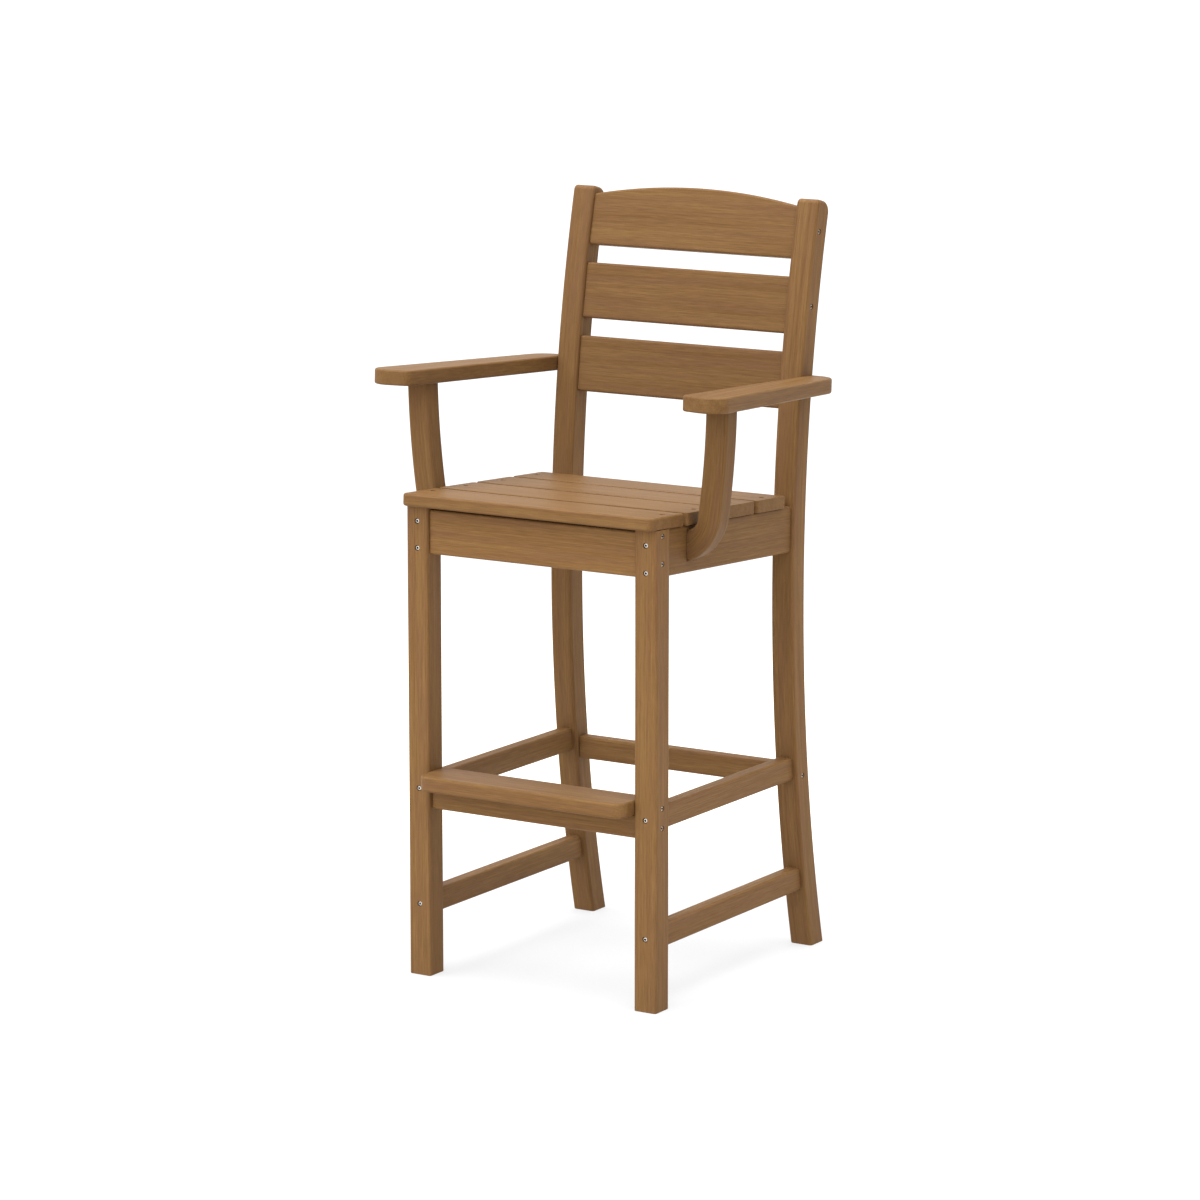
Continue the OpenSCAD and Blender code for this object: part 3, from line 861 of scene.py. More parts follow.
@dataclass(frozen=True)
class ScrewPlan:
    """Where the screws sit, and the shape of one screw and of its seat."""

    head_radius: float = 0.0034
    head_thickness: float = 0.0024
    head_round: float = 0.0009
    head_steps: int = 4
    shank_radius: float = 0.0023
    point_scale: float = 0.12
    leg_length: float = 0.062
    seat_length: float = 0.036
    recess: float = 0.0034
    recess_depth: float = 0.0018
    sink: float = 0.0014
    clearance: float = 0.0009
    flare: float = 1.06
    facets: int = 48
    apron_gap: float = 0.042
    apron_rise: float = 0.0095
    front_slat_depth: float = 0.046
    first_turn: float = math.radians(23)
    next_turn: float = math.radians(31)
    steel: Stainless = Stainless()
    # Near-black finish of the driver recess: painted shade, where the recess falls dark
    recess_shade: Stainless = Stainless(
        name="screw_recess_painted_shade",
        bright=(0.060, 0.050, 0.042, 1.0),
        dull=(0.025, 0.021, 0.018, 1.0),
        roughness=(0.3, 0.7, 0.55, 0.70),
    )

    def facing_side(self, side: Side, depth: float, height: float) -> Matrix:
        """A seat in the outer face of a leg."""
        spot = CHAIR.spot(side * CHAIR.half_width, depth, height)
        return Matrix.Translation(spot) @ Matrix.Rotation(side * math.pi / 2, 4, "Y")

    def side_board_heights(self, depth: float) -> list[float]:
        """Heights of the screws into a side apron and two side stretchers, from the top down.

        Args:
            depth: Depth of the outer face of the leg.

        Returns:
            The four heights.
        """
        low = CHAIR.under_seat(depth, CHAIR.slat_thickness + CHAIR.side_apron_height) + self.apron_rise
        half = CHAIR.stretcher_height / 2
        return [low + self.apron_gap, low, CHAIR.upper_stretcher + half, CHAIR.lower_stretcher + half]

    def front_faces(self, side: Side) -> list[Matrix]:
        """Seats in the front face of the front leg on one side."""
        spots = [CHAIR.spot(side * CHAIR.leg_line, 0, z) for z in self.side_board_heights(CHAIR.leg)]
        return [Matrix.Translation(spot) @ Matrix.Rotation(math.pi / 2, 4, "X") for spot in spots]

    def front_sides(self, side: Side) -> list[Matrix]:
        """Seats in the outer face of the front leg on one side, from the top down.

        Args:
            side: The side of the chair.

        Returns:
            The seats into the front apron, the footrest board and the front stretcher.
        """
        top = CHAIR.under_seat(CHAIR.leg / 2, CHAIR.slat_thickness) - self.apron_rise
        apron = CHAIR.apron_inset + CHAIR.apron_thickness / 2
        middle = CHAIR.leg / 2
        board = CHAIR.footrest_top - CHAIR.footrest_thickness / 2
        stretcher = CHAIR.front_stretcher + CHAIR.stretcher_height / 2
        places = ((apron, top), (apron, top - self.apron_gap), (middle, board), (middle, stretcher))
        return [self.facing_side(side, depth, height) for depth, height in places]

    def rear_sides(self, side: Side) -> list[Matrix]:
        """Seats in the outer face of the rear leg on one side.

        Args:
            side: The side of the chair.

        Returns:
            The seats into the three back slats and the rear stretcher.
        """
        turn = Matrix.Rotation(side * math.pi / 2, 4, "Y")
        out = Matrix.Translation((side * CHAIR.half_width, 0, 0)) @ turn
        depth = CHAIR.back_slat_recess + CHAIR.back_slat_thickness / 2
        seats = [CHAIR.arc_frame(CHAIR.back_slat_angle(row), depth) @ out for row in range(CHAIR.back_slats)]
        height = CHAIR.front_stretcher + CHAIR.stretcher_height / 2
        return seats + [self.facing_side(side, CHAIR.rear_face(height) + CHAIR.leg / 2, height)]

    def rear_backs(self, side: Side) -> list[Matrix]:
        """Seats in the back face of the rear leg on one side.

        Args:
            side: The side of the chair.

        Returns:
            The seats into the side apron and the side stretchers.
        """
        heights = self.side_board_heights(CHAIR.waist_depth + CHAIR.leg)
        out = Matrix.Translation((side * CHAIR.leg_line, 0, 0)) @ Matrix.Rotation(-math.pi / 2, 4, "X")
        return [CHAIR.arc_frame(CHAIR.arc_angle(height), CHAIR.leg) @ out for height in heights]

    def seat_tops(self, row: int) -> list[Matrix]:
        """Seats in the top of one seat slat, on its middle except for the front one.

        Args:
            row: The slat's place, counted from the front.

        Returns:
            The left and the right seat.
        """
        start, width = CHAIR.slats[row]
        depth = start + width / 2 if row else self.front_slat_depth
        x = CHAIR.apron_face - CHAIR.apron_thickness / 2
        return [CHAIR.seat_frame() @ Matrix.Translation((side * x, depth, 0)) for side in Side]

    def cutter(self) -> Board:
        """Turns the cutter of one seat: a flat-bottomed bore with a flared mouth.

        Returns:
            The cutter, with the board's surface at its height 0.
        """
        floor, mouth = -self.sink - self.head_thickness, -self.sink / 2
        cutter = Board.turned(self.head_radius + self.clearance, floor, mouth, self.facets)
        cutter.pull_end(mouth, mouth + 2 * self.sink, self.flare)
        return cutter

    def screw(self, length: float, materials: Sequence[bpy.types.Material]) -> Board:
        """Models one screw with a softened head and a square driver recess.

        Args:
            length: Length of the screw with its head.
            materials: The finish of the steel, and the near-black one of the driver recess, which is painted
                shade.

        Returns:
            The screw, with the board's surface at its height 0.
        """
        top = -self.sink
        under, tip = top - self.head_thickness, top - length
        shank_end = tip + 2 * self.shank_radius
        screw = Board.turned(self.head_radius, under, top, self.facets)
        screw.pull_end(under, under, self.shank_radius / self.head_radius)
        screw.pull_end(under, shank_end, 1.0)
        screw.pull_end(shank_end, tip, self.point_scale)
        screw.round_edges(
            lambda ends: all(near(end.z, top) and near(end.xy.length, self.head_radius) for end in ends),
            self.head_round,
            self.head_steps,
        )
        half = self.recess / 2
        screw.cut_out(Board.sawn((-half, -half, top - self.recess_depth), (half, half, top + self.sink)))
        mesh = screw.obj.data
        for material in materials:
            mesh.materials.append(material)
        # Faces inside the driver recess take the near-black finish: painted shade
        for face in mesh.polygons:
            x, y, z = face.center
            if under < z < top - NEAR and max(abs(x), abs(y)) < half + NEAR:
                face.material_index = 1
        return screw

    def drive(self, node: str, seats: Sequence[Matrix], screw: Board) -> None:
        """Drives a copy of the screw into each seat, each turned its own way, as one piece.

        Args:
            node: The node that the group replaces.
            seats: Where the heads sit.
            screw: The screw to copy.
        """
        places = [
            seat @ Matrix.Rotation(self.first_turn + count * self.next_turn, 4, "Z")
            for count, seat in enumerate(seats)
        ]
        screw.repeated(places).finish(node, "screw_steel")

    def drive_all(self) -> None:
        """Makes the five groups of screws."""
        # The second finish is the painted shade of the driver recess
        materials = (self.steel.material(), self.recess_shade.material())
        long = self.screw(self.leg_length, materials)
        short = self.screw(self.seat_length, materials)
        groups = {
            "front_leg_front_screws": self.front_faces,
            "front_leg_side_screws": self.front_sides,
            "rear_leg_side_screws": self.rear_sides,
            "rear_leg_back_screws": self.rear_backs,
        }
        for node, seats in groups.items():
            self.drive(node, [seat for side in Side for seat in seats(side)], long)
        rows = range(len(CHAIR.slats))
        self.drive("seat_screws", [seat for row in rows for seat in self.seat_tops(row)], short)
        bpy.data.objects.remove(long.obj)
        bpy.data.objects.remove(short.obj)


SCREWS = ScrewPlan()


@dataclass(frozen=True)
class FrontLegs:
    """The two square front legs, cut to the slope of the seat at the top."""

    top_round: float = 0.0005
    lumber: Lumber = Lumber(Grain.UPRIGHT, 3, tone=0.99)

    def build(self, cutter: Board) -> None:
        """Saws, rounds and bores both legs.

        Args:
            cutter: The cutter of a screw's seat.
        """
        low = CHAIR.spot(CHAIR.inner, 0, 0)
        high = CHAIR.spot(CHAIR.half_width, CHAIR.leg, CHAIR.seat_height)
        point, up = underside(CHAIR.seat_frame(), CHAIR.slat_thickness)
        leg = Board.sawn(low, high).round_length(Axis.Z).slice_off(point, up).round_foot()
        leg.round_edges(
            lambda ends: all(near((end - point).dot(up), 0.0) for end in ends), self.top_round, steps=1
        )
        for side, board in zip(Side, leg.pair()):
            seats = SCREWS.front_faces(side) + SCREWS.front_sides(side)
            board.cut_out(cutter.repeated(seats)).dress(f"front_leg_{side.word}", self.lumber.cut(side))


@dataclass(frozen=True)
class RearLegs:
    """The two rear legs and back posts, each one board cut along a long arc."""

    round_front: float = 0.008
    round_back: float = 0.018
    edge: float = 0.005
    edge_steps: int = 6
    arc_steps: int = 56
    front_steps: int = 8
    back_steps: int = 14
    lumber: Lumber = Lumber(Grain.ALONG_CURVE, 11)
    tones: tuple[float, float] = (0.91, 0.94)

    @property
    def foot(self) -> float:
        """Angle of the front face's lower end, somewhat under the floor."""
        return -math.asin((CHAIR.waist_height + CHAIR.leg) / CHAIR.sweep_radius)

    @property
    def front_swing(self) -> float:
        """Angle of the arc that the rounding at the top of the front face takes up."""
        return math.asin(self.round_front / (CHAIR.sweep_radius - self.round_front))

    def outline(self) -> list[Vector]:
        """The side view of a leg, from under the floor up the front and down the back.

        Returns:
            The outline in the plane of the leg's inner face.
        """
        centre = CHAIR.spot(CHAIR.inner, CHAIR.sweep_depth, CHAIR.waist_height)
        front, up = Vector((0, -1, 0)), Vector((0, 0, 1))
        outer, inner = CHAIR.sweep_radius, CHAIR.sweep_radius - CHAIR.leg
        top = CHAIR.arc_angle(CHAIR.post_height)
        out_way = front * math.cos(top) + up * math.sin(top)
        end_way = up * math.cos(top) - front * math.sin(top)
        near_r, far_r = self.round_front, self.round_back
        near_swing, far_swing = self.front_swing, math.asin(far_r / (inner + far_r))
        near_centre = centre + out_way * (outer - near_r) * math.cos(near_swing) - end_way * near_r
        far_centre = centre + out_way * (inner + far_r) * math.cos(far_swing) - end_way * far_r
        heel = -math.asin((CHAIR.waist_height + CHAIR.leg) / inner)
        quarter = math.pi / 2
        points = arc_points(centre, front * outer, up * outer, self.foot, top - near_swing, self.arc_steps)
        points += arc_points(
            near_centre, out_way * near_r, end_way * near_r, -near_swing, quarter, self.front_steps
        )[1:]
        points += arc_points(
            far_centre, end_way * far_r, -out_way * far_r, 0.0, quarter + far_swing, self.back_steps
        )
        points += arc_points(centre, front * inner, up * inner, top - far_swing, heel, self.arc_steps)[1:]
        return points

    def path(self, point: Vector) -> tuple[float, float, float]:
        """Where a point lies along, through and across the leg."""
        arm = point - CHAIR.spot(0, CHAIR.sweep_depth, CHAIR.waist_height)
        return (math.atan2(arm.z, -arm.y) * CHAIR.sweep_radius, math.hypot(arm.y, arm.z), point.x)

    def build(self, cutter: Board) -> None:
        """Cuts, rounds and bores both legs.

        Args:
            cutter: The cutter of a screw's seat.
        """
        right = Board.traced(self.outline(), (CHAIR.leg, 0, 0))
        right.round_edges(both_at(Axis.X, CHAIR.inner, CHAIR.half_width), self.edge, self.edge_steps)
        centre = CHAIR.spot(0, CHAIR.sweep_depth, CHAIR.waist_height)
        span = CHAIR.arc_angle(CHAIR.post_height) - self.front_swing - self.foot
        for step in range(1, self.arc_steps):
            angle = self.foot + span * step / self.arc_steps
            right.score(centre, angle, Vector((0, -1, 0)), Vector((0, 0, 1)))
        right.slice_off(Vector((0, 0, 0)), Vector((0, 0, -1))).round_foot()
        left = right.copy().place(Matrix.Translation((-2 * CHAIR.leg_line, 0, 0)))
        for side, board, tone in zip(Side, (left, right), self.tones):
            board.cut_out(cutter.repeated(SCREWS.rear_sides(side) + SCREWS.rear_backs(side)))
            board.lay_path(self.path)
            board.dress(f"rear_leg_{side.word}", self.lumber.cut(side, tone))


@dataclass(frozen=True)
class Aprons:
    """The three boards that carry the seat."""

    front_height: float = 0.074
    shadow_gap: float = 0.0045
    front_lumber: Lumber = Lumber(Grain.ACROSS, 21, tone=1.08)
    side_lumber: Lumber = Lumber(Grain.BACKWARD, 25, tone=0.90, tilt=-CHAIR.seat_slope)

    def build(self) -> None:
        """Cuts the front apron and both side aprons."""
        self.build_front()
        self.build_sides()

    def build_front(self) -> None:
        """Cuts the front apron, whose top follows the slope of the seat."""
        near_face = CHAIR.apron_inset
        far_face = near_face + CHAIR.apron_thickness
        bottom = CHAIR.under_seat(near_face, CHAIR.slat_thickness) - self.front_height
        gap = CHAIR.slat_thickness + self.shadow_gap
        corners = [
            (near_face, bottom),
            (far_face, bottom),
            (far_face, CHAIR.under_seat(far_face, gap)),
            (near_face, CHAIR.under_seat(near_face, gap)),
        ]
        outline = [CHAIR.spot(-CHAIR.inner, depth, height) for depth, height in corners]
        board = Board.traced(outline, (2 * CHAIR.inner, 0, 0))
        board.round_length(Axis.X).break_ends(Axis.X, -CHAIR.inner, CHAIR.inner)
        board.dress("front_apron", self.front_lumber)

    def build_sides(self) -> None:
        """Cuts the side aprons, which slope with the seat between the legs."""
        top, height = -CHAIR.slat_thickness, CHAIR.side_apron_height
        low = (CHAIR.apron_face - CHAIR.apron_thickness, -CHAIR.end_spare, top - height)
        high = (CHAIR.apron_face, CHAIR.waist_depth + CHAIR.leg + CHAIR.end_spare, top)
        right = Board.sawn(low, high).round_length(Axis.Y).place(CHAIR.seat_frame())
        leg_back = CHAIR.spot(0, CHAIR.leg, 0)
        bottom = CHAIR.under_seat(CHAIR.waist_depth, CHAIR.slat_thickness + height)
        right.slice_off(leg_back, Vector((0, -1, 0))).slice_off(*CHAIR.rear_end(bottom, height))
        right.break_ends(Axis.Y, leg_back.y)
        for side, board in zip(Side, right.pair()):
            board.dress(f"side_apron_{side.word}", self.side_lumber.cut(side))


@dataclass(frozen=True)
class Seat:
    """The four slats of the seat, screwed down on the side aprons."""

    front_corner: float = 0.012
    corner: float = 0.005
    corner_steps: int = 8
    front_edge: float = 0.0036
    edge: float = 0.0011
    names: tuple[str, ...] = ("front", "second", "third", "rear")
    tones: tuple[float, ...] = (0.895, 0.915, 0.875, 0.895)
    lumber: Lumber = Lumber(Grain.ACROSS, 31, mauve_most=0.25)

    def build(self, cutter: Board) -> None:
        """Cuts, bores and dresses the slats from front to back.

        Args:
            cutter: The cutter of a screw's seat.
        """
        for row, (name, tone) in enumerate(zip(self.names, self.tones)):
            board = self.slat(row).place(CHAIR.seat_frame())
            board.cut_out(cutter.repeated(SCREWS.seat_tops(row)))
            board.dress(f"seat_slat_{name}", self.lumber.cut(row, tone))

    def slat(self, row: int) -> Board:
        """Cuts one slat, with its corners and edges rounded.

        Args:
            row: Its place, counted from the front.

        Returns:
            The slat in the frame of the seat.
        """
        start, width = CHAIR.slats[row]
        half, back, under = CHAIR.half_width, start + width, -CHAIR.slat_thickness
        plan = ((-half, start), (half, start), (half, back), (-half, back))
        corners = [Vector((x, y, under)) for x, y in plan]
        front_corner, edge = (self.corner, self.edge) if row else (self.front_corner, self.front_edge)
        outline = round_corners(
            corners, (front_corner, front_corner, self.corner, self.corner), self.corner_steps
        )
        board = Board.traced(outline, (0, 0, CHAIR.slat_thickness))
        return board.round_edges(both_at(Axis.Z, under, 0.0), edge)


@dataclass(frozen=True)
class Back:
    """The three slats between the back posts."""

    width: float = 0.089
    end_height: float = 0.082
    rise: float = 0.018
    arch_steps: int = 48
    names: tuple[str, ...] = ("lower", "middle", "top")
    tones: tuple[float, ...] = (0.85, 0.89, 0.92)
    lumber: Lumber = Lumber(Grain.ACROSS, 41)

    def build(self) -> None:
        """Cuts the lower, middle and top slats."""
        inner, half = CHAIR.inner, self.width / 2
        low = Board.sawn((-inner, 0, -half), (inner, CHAIR.back_slat_thickness, half))
        low.round_length(Axis.X).break_ends(Axis.X, -inner, inner)
        boards = (low, low.copy(), self.top_slat())
        for row, (name, board, tone) in enumerate(zip(self.names, boards, self.tones)):
            board.place(CHAIR.arc_frame(CHAIR.back_slat_angle(row), CHAIR.back_slat_recess))
            board.dress(f"back_slat_{name}", self.lumber.cut(row, tone))

    def top_slat(self) -> Board:
        """Cuts the top slat, whose upper edge is one long arc.

        Returns:
            The slat in its own frame, with its front at depth 0.
        """
        inner, spare = CHAIR.inner, CHAIR.leg
        radius = (inner**2 + self.rise**2) / (2 * self.rise)
        foot = -self.width / 2
        swing = math.asin((inner + spare) / radius)
        centre = Vector((0, 0, foot + (self.end_height + self.rise) - radius))
        up, across = Vector((0, 0, radius)), Vector((radius, 0, 0))
        outline = [Vector((-inner - spare, 0, foot)), Vector((inner + spare, 0, foot))]
        outline += arc_points(centre, up, across, swing, -swing, self.arch_steps)
        board = Board.traced(outline, (0, CHAIR.back_slat_thickness, 0))
        board.round_edges(both_at(Axis.Y, 0.0, CHAIR.back_slat_thickness), CHAIR.edge)
        for side in reversed(Side):
            board.slice_off(Vector((side * inner, 0, 0)), Vector((side, 0, 0)))
        return board.break_ends(Axis.X, -inner, inner)


@dataclass(frozen=True)
class Arms:
    """The two flat arms and the bent posts that carry them."""

    front: float = 0.017
    rear: float = 0.463
    inner_front: float = 0.019
    outer_front: float = 0.094
    rear_width: float = 0.048
    splay: float = 0.020
    outer_corner: float = 0.030
    inner_corner: float = 0.014
    rear_corner: float = 0.038
    leg_corner: float = 0.003
    corner_steps: int = 10
    arm_edge: float = 0.0034
    edge_steps: int = 6
    post_depth: float = 0.035
    post_width: float = 0.038
    post_front: float = 0.0953
    reach: float = 0.0697
    sweep: float = 1.400
    knee: float = 0.087
    knee_rise: float = 0.032
    fillet: float = 0.018
    foot_drop: float = 0.006
    post_edge: float = 0.006
    bend_steps: int = 26
    arm_lumber: Lumber = Lumber(Grain.ALONG_CURVE, 51, tone=0.85, mauve_most=0.15)
    post_lumber: Lumber = Lumber(Grain.ALONG_CURVE, 55)
    post_tones: tuple[float, float] = (0.895, 0.835)

    def build(self) -> None:
        """Cuts both arms and both arm posts."""
        arm, post = self.arm(), self.post()
        for side, board in zip(Side, arm.pair()):
            board.lay_path(self.arm_path)
            board.dress(f"arm_{side.word}", self.arm_lumber.cut(side))
        for side, board, tone in zip(Side, post.pair(), self.post_tones):
            board.lay_path(self.post_path)
            board.dress(f"arm_post_{side.word}", self.post_lumber.cut(side, tone))

    def arm(self) -> Board:
        """Cuts the right arm to its splayed plan.

        Returns:
            The arm in its place.
        """
        half, under = CHAIR.half_width, -CHAIR.arm_thickness
        plan = (
            (half + self.inner_front, self.front + self.splay, self.inner_corner),
            (half + self.outer_front, self.front, self.outer_corner),
            (half + self.rear_width, self.rear, self.rear_corner),
            (half, self.rear, self.leg_corner),
            (half, CHAIR.rear_face(CHAIR.arm_height), 0.0),
        )
        corners = [Vector((x, y, under)) for x, y, _ in plan]
        outline = round_corners(corners, [radius for _, _, radius in plan], self.corner_steps)
        board = Board.traced(outline, (0, 0, CHAIR.arm_thickness))
        board.round_edges(both_at(Axis.Z, under, 0.0), self.arm_edge, self.edge_steps)
        return board.place(CHAIR.arm_frame())

    @property
    def centre(self) -> Vector:
        """Centre of the long curve of the right arm post, seen from the front."""
        return Vector((CHAIR.apron_face + self.reach - self.sweep, 0, CHAIR.arm_height))

    @property
    def foot_top(self) -> float:
        """Height of the top of an arm post's foot."""
        return CHAIR.under_seat(self.post_front + self.post_depth / 2, CHAIR.slat_thickness + self.foot_drop)

    @property
    def knee_bend(self) -> tuple[Vector, float]:
        """The bend below the long curve, as its centre and the angle at which the two meet."""
        return self.bend(self.sweep - self.knee, self.foot_top + self.knee_rise)

    def bend(self, ring: float, height: float) -> tuple[Vector, float]:
        """Finds a bend that runs into the long curve.

        Args:
            ring: Distance of the bend's centre from the centre of the long curve.
            height: Height of the bend's centre.

        Returns:
            The bend's centre, and the angle at which it meets the long curve.
        """
        rise = height - self.centre.z
        run = math.sqrt(ring**2 - rise**2)
        return Vector((self.centre.x + run, 0, height)), math.atan2(rise, run)

    def post(self) -> Board:
        """Cuts the right arm post, with its knee and the hollow bend inside it.

        Returns:
            The post in its place.
        """
        right, up = Vector((1, 0, 0)), Vector((0, 0, 1))
        hollow = self.sweep - self.post_width
        knee_at, knee_lean = self.knee_bend
        fillet_at, fillet_lean = self.bend(hollow - self.fillet, self.foot_top + self.fillet)
        face = CHAIR.apron_face - CHAIR.apron_inset
        heel = -math.pi + math.acos((knee_at.x - face) / self.knee)
        above = math.asin(CHAIR.leg / 2 / self.sweep)
        steps = self.bend_steps
        outline = arc_points(self.centre, right * self.sweep, up * self.sweep, above, knee_lean, steps)
        outline += arc_points(knee_at, right * self.knee, up * self.knee, knee_lean, heel, steps)[1:]
        outline.append(Vector((face, 0, self.foot_top)))
        outline += arc_points(
            fillet_at, right * self.fillet, up * self.fillet, -math.pi / 2, fillet_lean, self.corner_steps
        )
        outline += arc_points(self.centre, right * hollow, up * hollow, fillet_lean, above, steps)[1:]
        depth = CHAIR.spot(0, self.post_front, 0)
        board = Board.traced([point + depth for point in outline], (0, self.post_depth, 0))
        faces = both_at(Axis.Y, depth.y, depth.y + self.post_depth)
        board.round_edges(faces, self.post_edge, self.edge_steps)
        for step in range(1, steps):
            board.score(self.centre, knee_lean * step / steps, right, up)
        for step in range(1, steps // 2):
            board.score(knee_at, knee_lean + (heel - knee_lean) * 2 * step / steps, right, up)
        board.slice_off(Vector((CHAIR.apron_face, 0, 0)), -right)
        board.slice_off(*underside(CHAIR.arm_frame(), CHAIR.arm_thickness))
        return board.break_ends(Axis.X, CHAIR.apron_face)

    def arm_path(self, point: Vector) -> tuple[float, float, float]:
        """Where a point lies along, across and through an arm, whose grain follows its outer side.

        Args:
            point: A point of either arm.

        Returns:
            The three distances.
        """
        local = CHAIR.arm_frame().inverted() @ point
        turn = math.atan2(self.outer_front - self.rear_width, self.rear - self.front)
        x, y = abs(local.x), local.y
        return (y * math.cos(turn) - x * math.sin(turn), x * math.cos(turn) + y * math.sin(turn), local.z)

    def post_path(self, point: Vector) -> tuple[float, float, float]:
        """Where a point lies along, through and across an arm post.

        Args:
            point: A point of either post.

        Returns:
            The three distances.
        """
        knee_at, lean = self.knee_bend
        x, z = abs(point.x), point.z
        angle = math.atan2(z - self.centre.z, x - self.centre.x)
        if angle >= lean:
            reach = math.hypot(x - self.centre.x, z - self.centre.z)
            return (angle * self.sweep, self.sweep - reach, point.y)
        turn = math.atan2(z - knee_at.z, x - knee_at.x)
        if turn > lean:
            turn -= 2 * math.pi
        reach = math.hypot(x - knee_at.x, z - knee_at.z)
        return (lean * self.sweep + (turn - lean) * self.knee, self.knee - reach, point.y)


@dataclass(frozen=True)
class Rails:
    """The footrest board and the stretchers between the legs."""

    corner: float = 0.020
    corner_steps: int = 10
    footrest_lumber: Lumber = Lumber(Grain.ACROSS, 61, tone=0.965)
    front_lumber: Lumber = Lumber(Grain.ACROSS, 63, tone=1.01)
    rear_lumber: Lumber = Lumber(Grain.ACROSS, 65, tone=0.99)
    upper_lumber: Lumber = Lumber(Grain.BACKWARD, 71, tone=0.94)
    lower_lumber: Lumber = Lumber(Grain.BACKWARD, 75, tone=0.99)

    def build(self) -> None:
        """Cuts the footrest, the two cross stretchers and the four side stretchers."""
        self.build_footrest()
        self.build_cross_stretchers()
        self.build_side_stretchers("upper", CHAIR.upper_stretcher, self.upper_lumber)
        self.build_side_stretchers("lower", CHAIR.lower_stretcher, self.lower_lumber)

    def build_footrest(self) -> None:
        """Cuts the footrest board, with its rounded front corners."""
        inner, front, back = CHAIR.inner, -CHAIR.footrest_overhang, CHAIR.leg
        under = CHAIR.footrest_top - CHAIR.footrest_thickness
        plan = ((-inner, front), (inner, front), (inner, back), (-inner, back))
        corners = [CHAIR.spot(x, depth, under) for x, depth in plan]
        outline = round_corners(corners, (self.corner, self.corner, 0.0, 0.0), self.corner_steps)
        board = Board.traced(outline, (0, 0, CHAIR.footrest_thickness))
        board.round_edges(both_at(Axis.Z, under, CHAIR.footrest_top), CHAIR.edge)
        board.dress("footrest_board", self.footrest_lumber)

    def build_cross_stretchers(self) -> None:
        """Cuts the front and the rear stretcher."""
        inner, low, near_face = CHAIR.inner, CHAIR.front_stretcher, CHAIR.stretcher_inset
        high, far_face = low + CHAIR.stretcher_height, near_face + CHAIR.stretcher_thickness
        front = Board.sawn(CHAIR.spot(-inner, near_face, low), CHAIR.spot(inner, far_face, high))
        front.round_length(Axis.X).break_ends(Axis.X, -inner, inner)
        back = CHAIR.rear_face(low + CHAIR.stretcher_height / 2)
        rear = front.copy().place(Matrix.Translation((0, back, 0)))
        front.dress("front_stretcher", self.front_lumber)
        rear.dress("rear_stretcher", self.rear_lumber)

    def build_side_stretchers(self, level: str, low: float, lumber: Lumber) -> None:
        """Cuts the two stretchers of one level, which run from front to back.

        Args:
            level: The word for the level in the nodes' names.
            low: Height of the stretchers' undersides.
            lumber: Their finish.
        """
        outer = CHAIR.half_width - CHAIR.stretcher_inset
        back, high = CHAIR.rear_face(low) + CHAIR.end_spare, low + CHAIR.stretcher_height
        right = Board.sawn(
            CHAIR.spot(outer - CHAIR.stretcher_thickness, CHAIR.leg, low), CHAIR.spot(outer, back, high)
        )
        right.round_length(Axis.Y).slice_off(*CHAIR.rear_end(low, CHAIR.stretcher_height))
        right.break_ends(Axis.Y, CHAIR.leg - CHAIR.middle)
        for side, board in zip(Side, right.pair()):
            board.dress(f"{level}_stretcher_{side.word}", lumber.cut(side))


@dataclass(frozen=True)
class Sun:
    """One wide, soft light far from the chair."""

    name: str
    way: tuple[float, float, float]
    strength: float
    softness: float
    color: tuple[float, float, float] = (0.98, 1.01, 1.09)
    distance: float = 4.0

    def hang(self) -> None:
        """Hangs the light up and points it at the chair."""
        deselect_all()
        way = Vector(self.way)
        bpy.ops.object.light_add(type="SUN", location=way * self.distance)
        light = bpy.context.object
        light.name = self.name
        light.data.energy = self.strength
        light.data.color = self.color
        light.data.angle = self.softness
        light.rotation_euler = (-way).to_track_quat("-Z", "Y").to_euler()


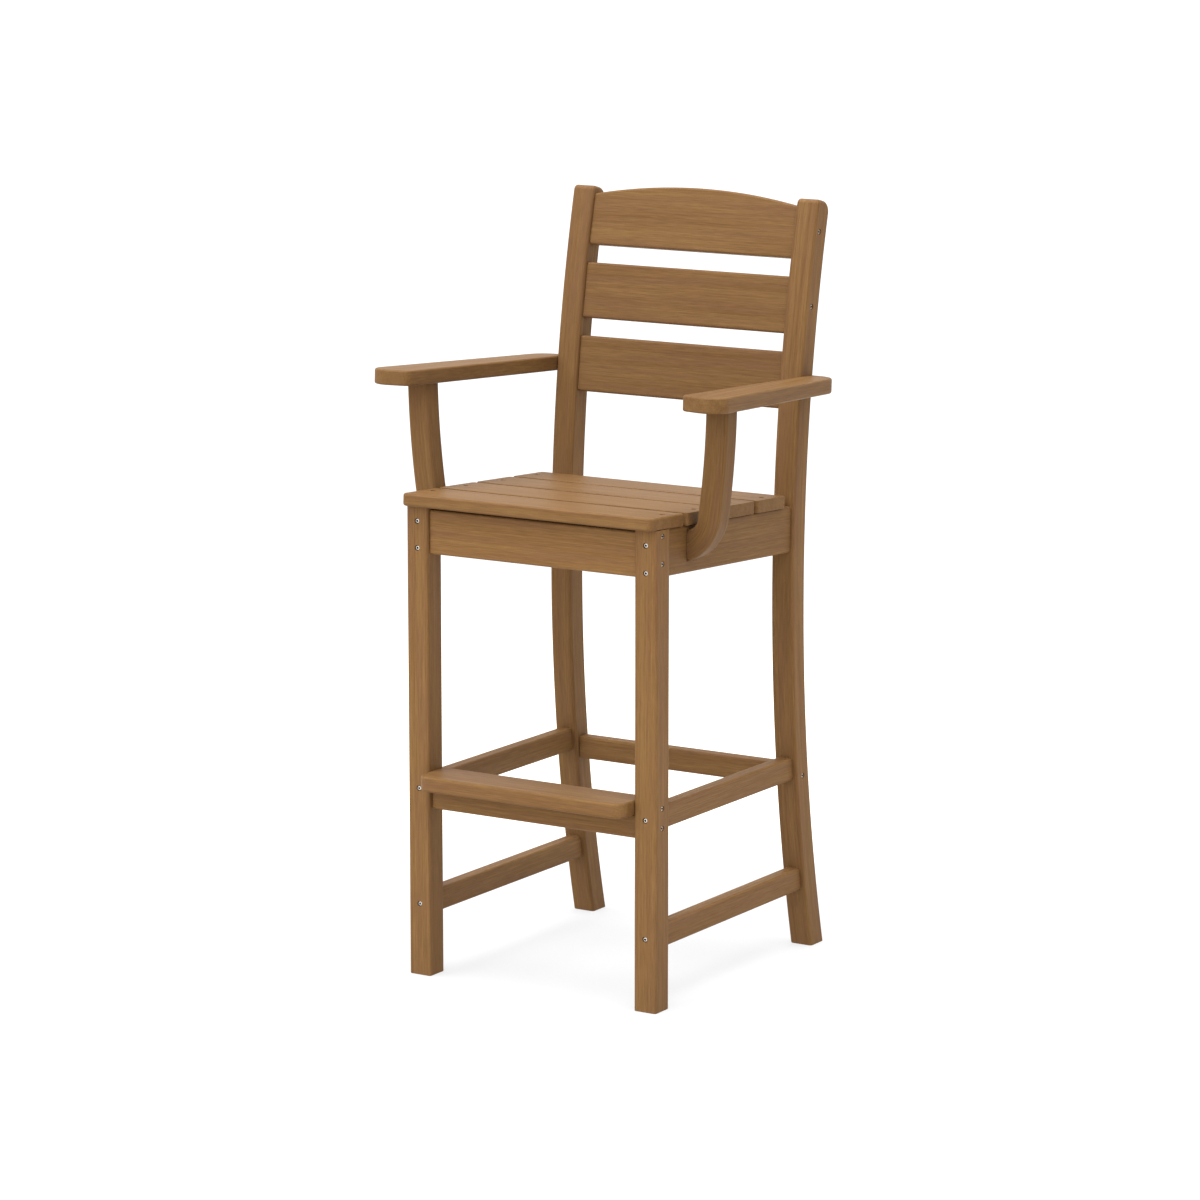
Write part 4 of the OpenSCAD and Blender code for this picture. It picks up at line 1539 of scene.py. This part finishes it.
@dataclass(frozen=True)
class Studio:
    """The pale floor, which glows more in a ring around the chair, the soft lights and the camera."""

    floor_size: float = 160.0
    floor_color: Color = (0.18, 0.18, 0.18, 1.0)
    floor_roughness: float = 0.9
    floor_glow: float = 0.69
    glow_color: Color = (1.0, 1.0, 1.0, 1.0)
    ring_glow: float = 1.27
    ring_color: Color = (1.0, 0.93, 0.82, 1.0)
    ring_inner: tuple[float, float] = (0.55, 0.95)
    ring_outer: tuple[float, float] = (2.2, 3.2)
    world_strength: float = 1.07
    world_color: Color = (1.0, 0.98, 0.945, 1.0)
    key: Sun = Sun("key_light", (-0.20, -0.65, 0.735), 2.35, math.radians(80))
    top: Sun = Sun("top_light", (0.0, 0.0, 1.0), 4.15, math.radians(60))
    camera_place: tuple[float, float, float] = (3.80895, -6.0992166, 1.93257)
    camera_degrees: tuple[float, float, float] = (79.325, 0.0, 32.153)
    lens: float = 141.03
    sensor: float = 36.0

    def build(self) -> None:
        """Sets up everything that isn't part of the chair."""
        self.lay_floor()
        self.light_world()
        self.key.hang()
        self.top.hang()
        self.set_camera()
        bpy.context.scene.view_settings.view_transform = "Standard"

    def lay_floor(self) -> None:
        """Lays the pale floor, whose glow and tint depend on the distance from the chair."""
        deselect_all()
        bpy.ops.mesh.primitive_plane_add(size=self.floor_size)
        floor = bpy.context.object
        floor.name = "studio_floor"
        sheet = NodeSheet.fresh("pale_floor")
        reach = sheet.add("ShaderNodeVectorMath", Vector=sheet.add("ShaderNodeTexCoord").outputs["Object"])
        reach.operation = "LENGTH"
        ring = sheet.add("ShaderNodeMath")
        ring.operation = "MINIMUM"
        sheet.feed(ring.inputs[0], sheet.spread(reach.outputs["Value"], *self.ring_inner, 0.0, 1.0))
        sheet.feed(ring.inputs[1], sheet.spread(reach.outputs["Value"], *self.ring_outer, 1.0, 0.0))
        share = ring.outputs["Value"]
        sheet.fill(
            sheet.shader,
            Base_Color=self.floor_color,
            Roughness=self.floor_roughness,
            Specular_IOR_Level=0.0,
            Emission_Color=sheet.mix(Mix.COLORS, share, self.glow_color, self.ring_color),
            Emission_Strength=sheet.spread(share, 0.0, 1.0, self.floor_glow, self.ring_glow),
        )
        floor.data.materials.append(sheet.material)

    def light_world(self) -> None:
        """Fills the room with even, nearly white light."""
        world = bpy.data.worlds.new("studio")
        world.use_nodes = True
        background = world.node_tree.nodes["Background"]
        background.inputs["Color"].default_value = self.world_color
        background.inputs["Strength"].default_value = self.world_strength
        bpy.context.scene.world = world

    def set_camera(self) -> None:
        """Puts the camera where the photograph was taken from."""
        deselect_all()
        bpy.ops.object.camera_add(location=self.camera_place)
        camera = bpy.context.object
        camera.name = "photo_camera"
        camera.rotation_euler = [math.radians(angle) for angle in self.camera_degrees]
        camera.data.lens = self.lens
        camera.data.sensor_width = self.sensor
        camera.data.clip_end = self.floor_size
        bpy.context.scene.camera = camera


def main() -> None:
    """Builds the chair board by board, and the studio around it."""
    logging.basicConfig(level=logging.INFO, format="%(name)s: %(message)s")
    cutter = SCREWS.cutter()
    FrontLegs().build(cutter)
    RearLegs().build(cutter)
    Aprons().build()
    Seat().build(cutter)
    Back().build()
    Arms().build()
    Rails().build()
    bpy.data.objects.remove(cutter.obj)
    SCREWS.drive_all()
    Studio().build()


if __name__ == "__main__":
    main()
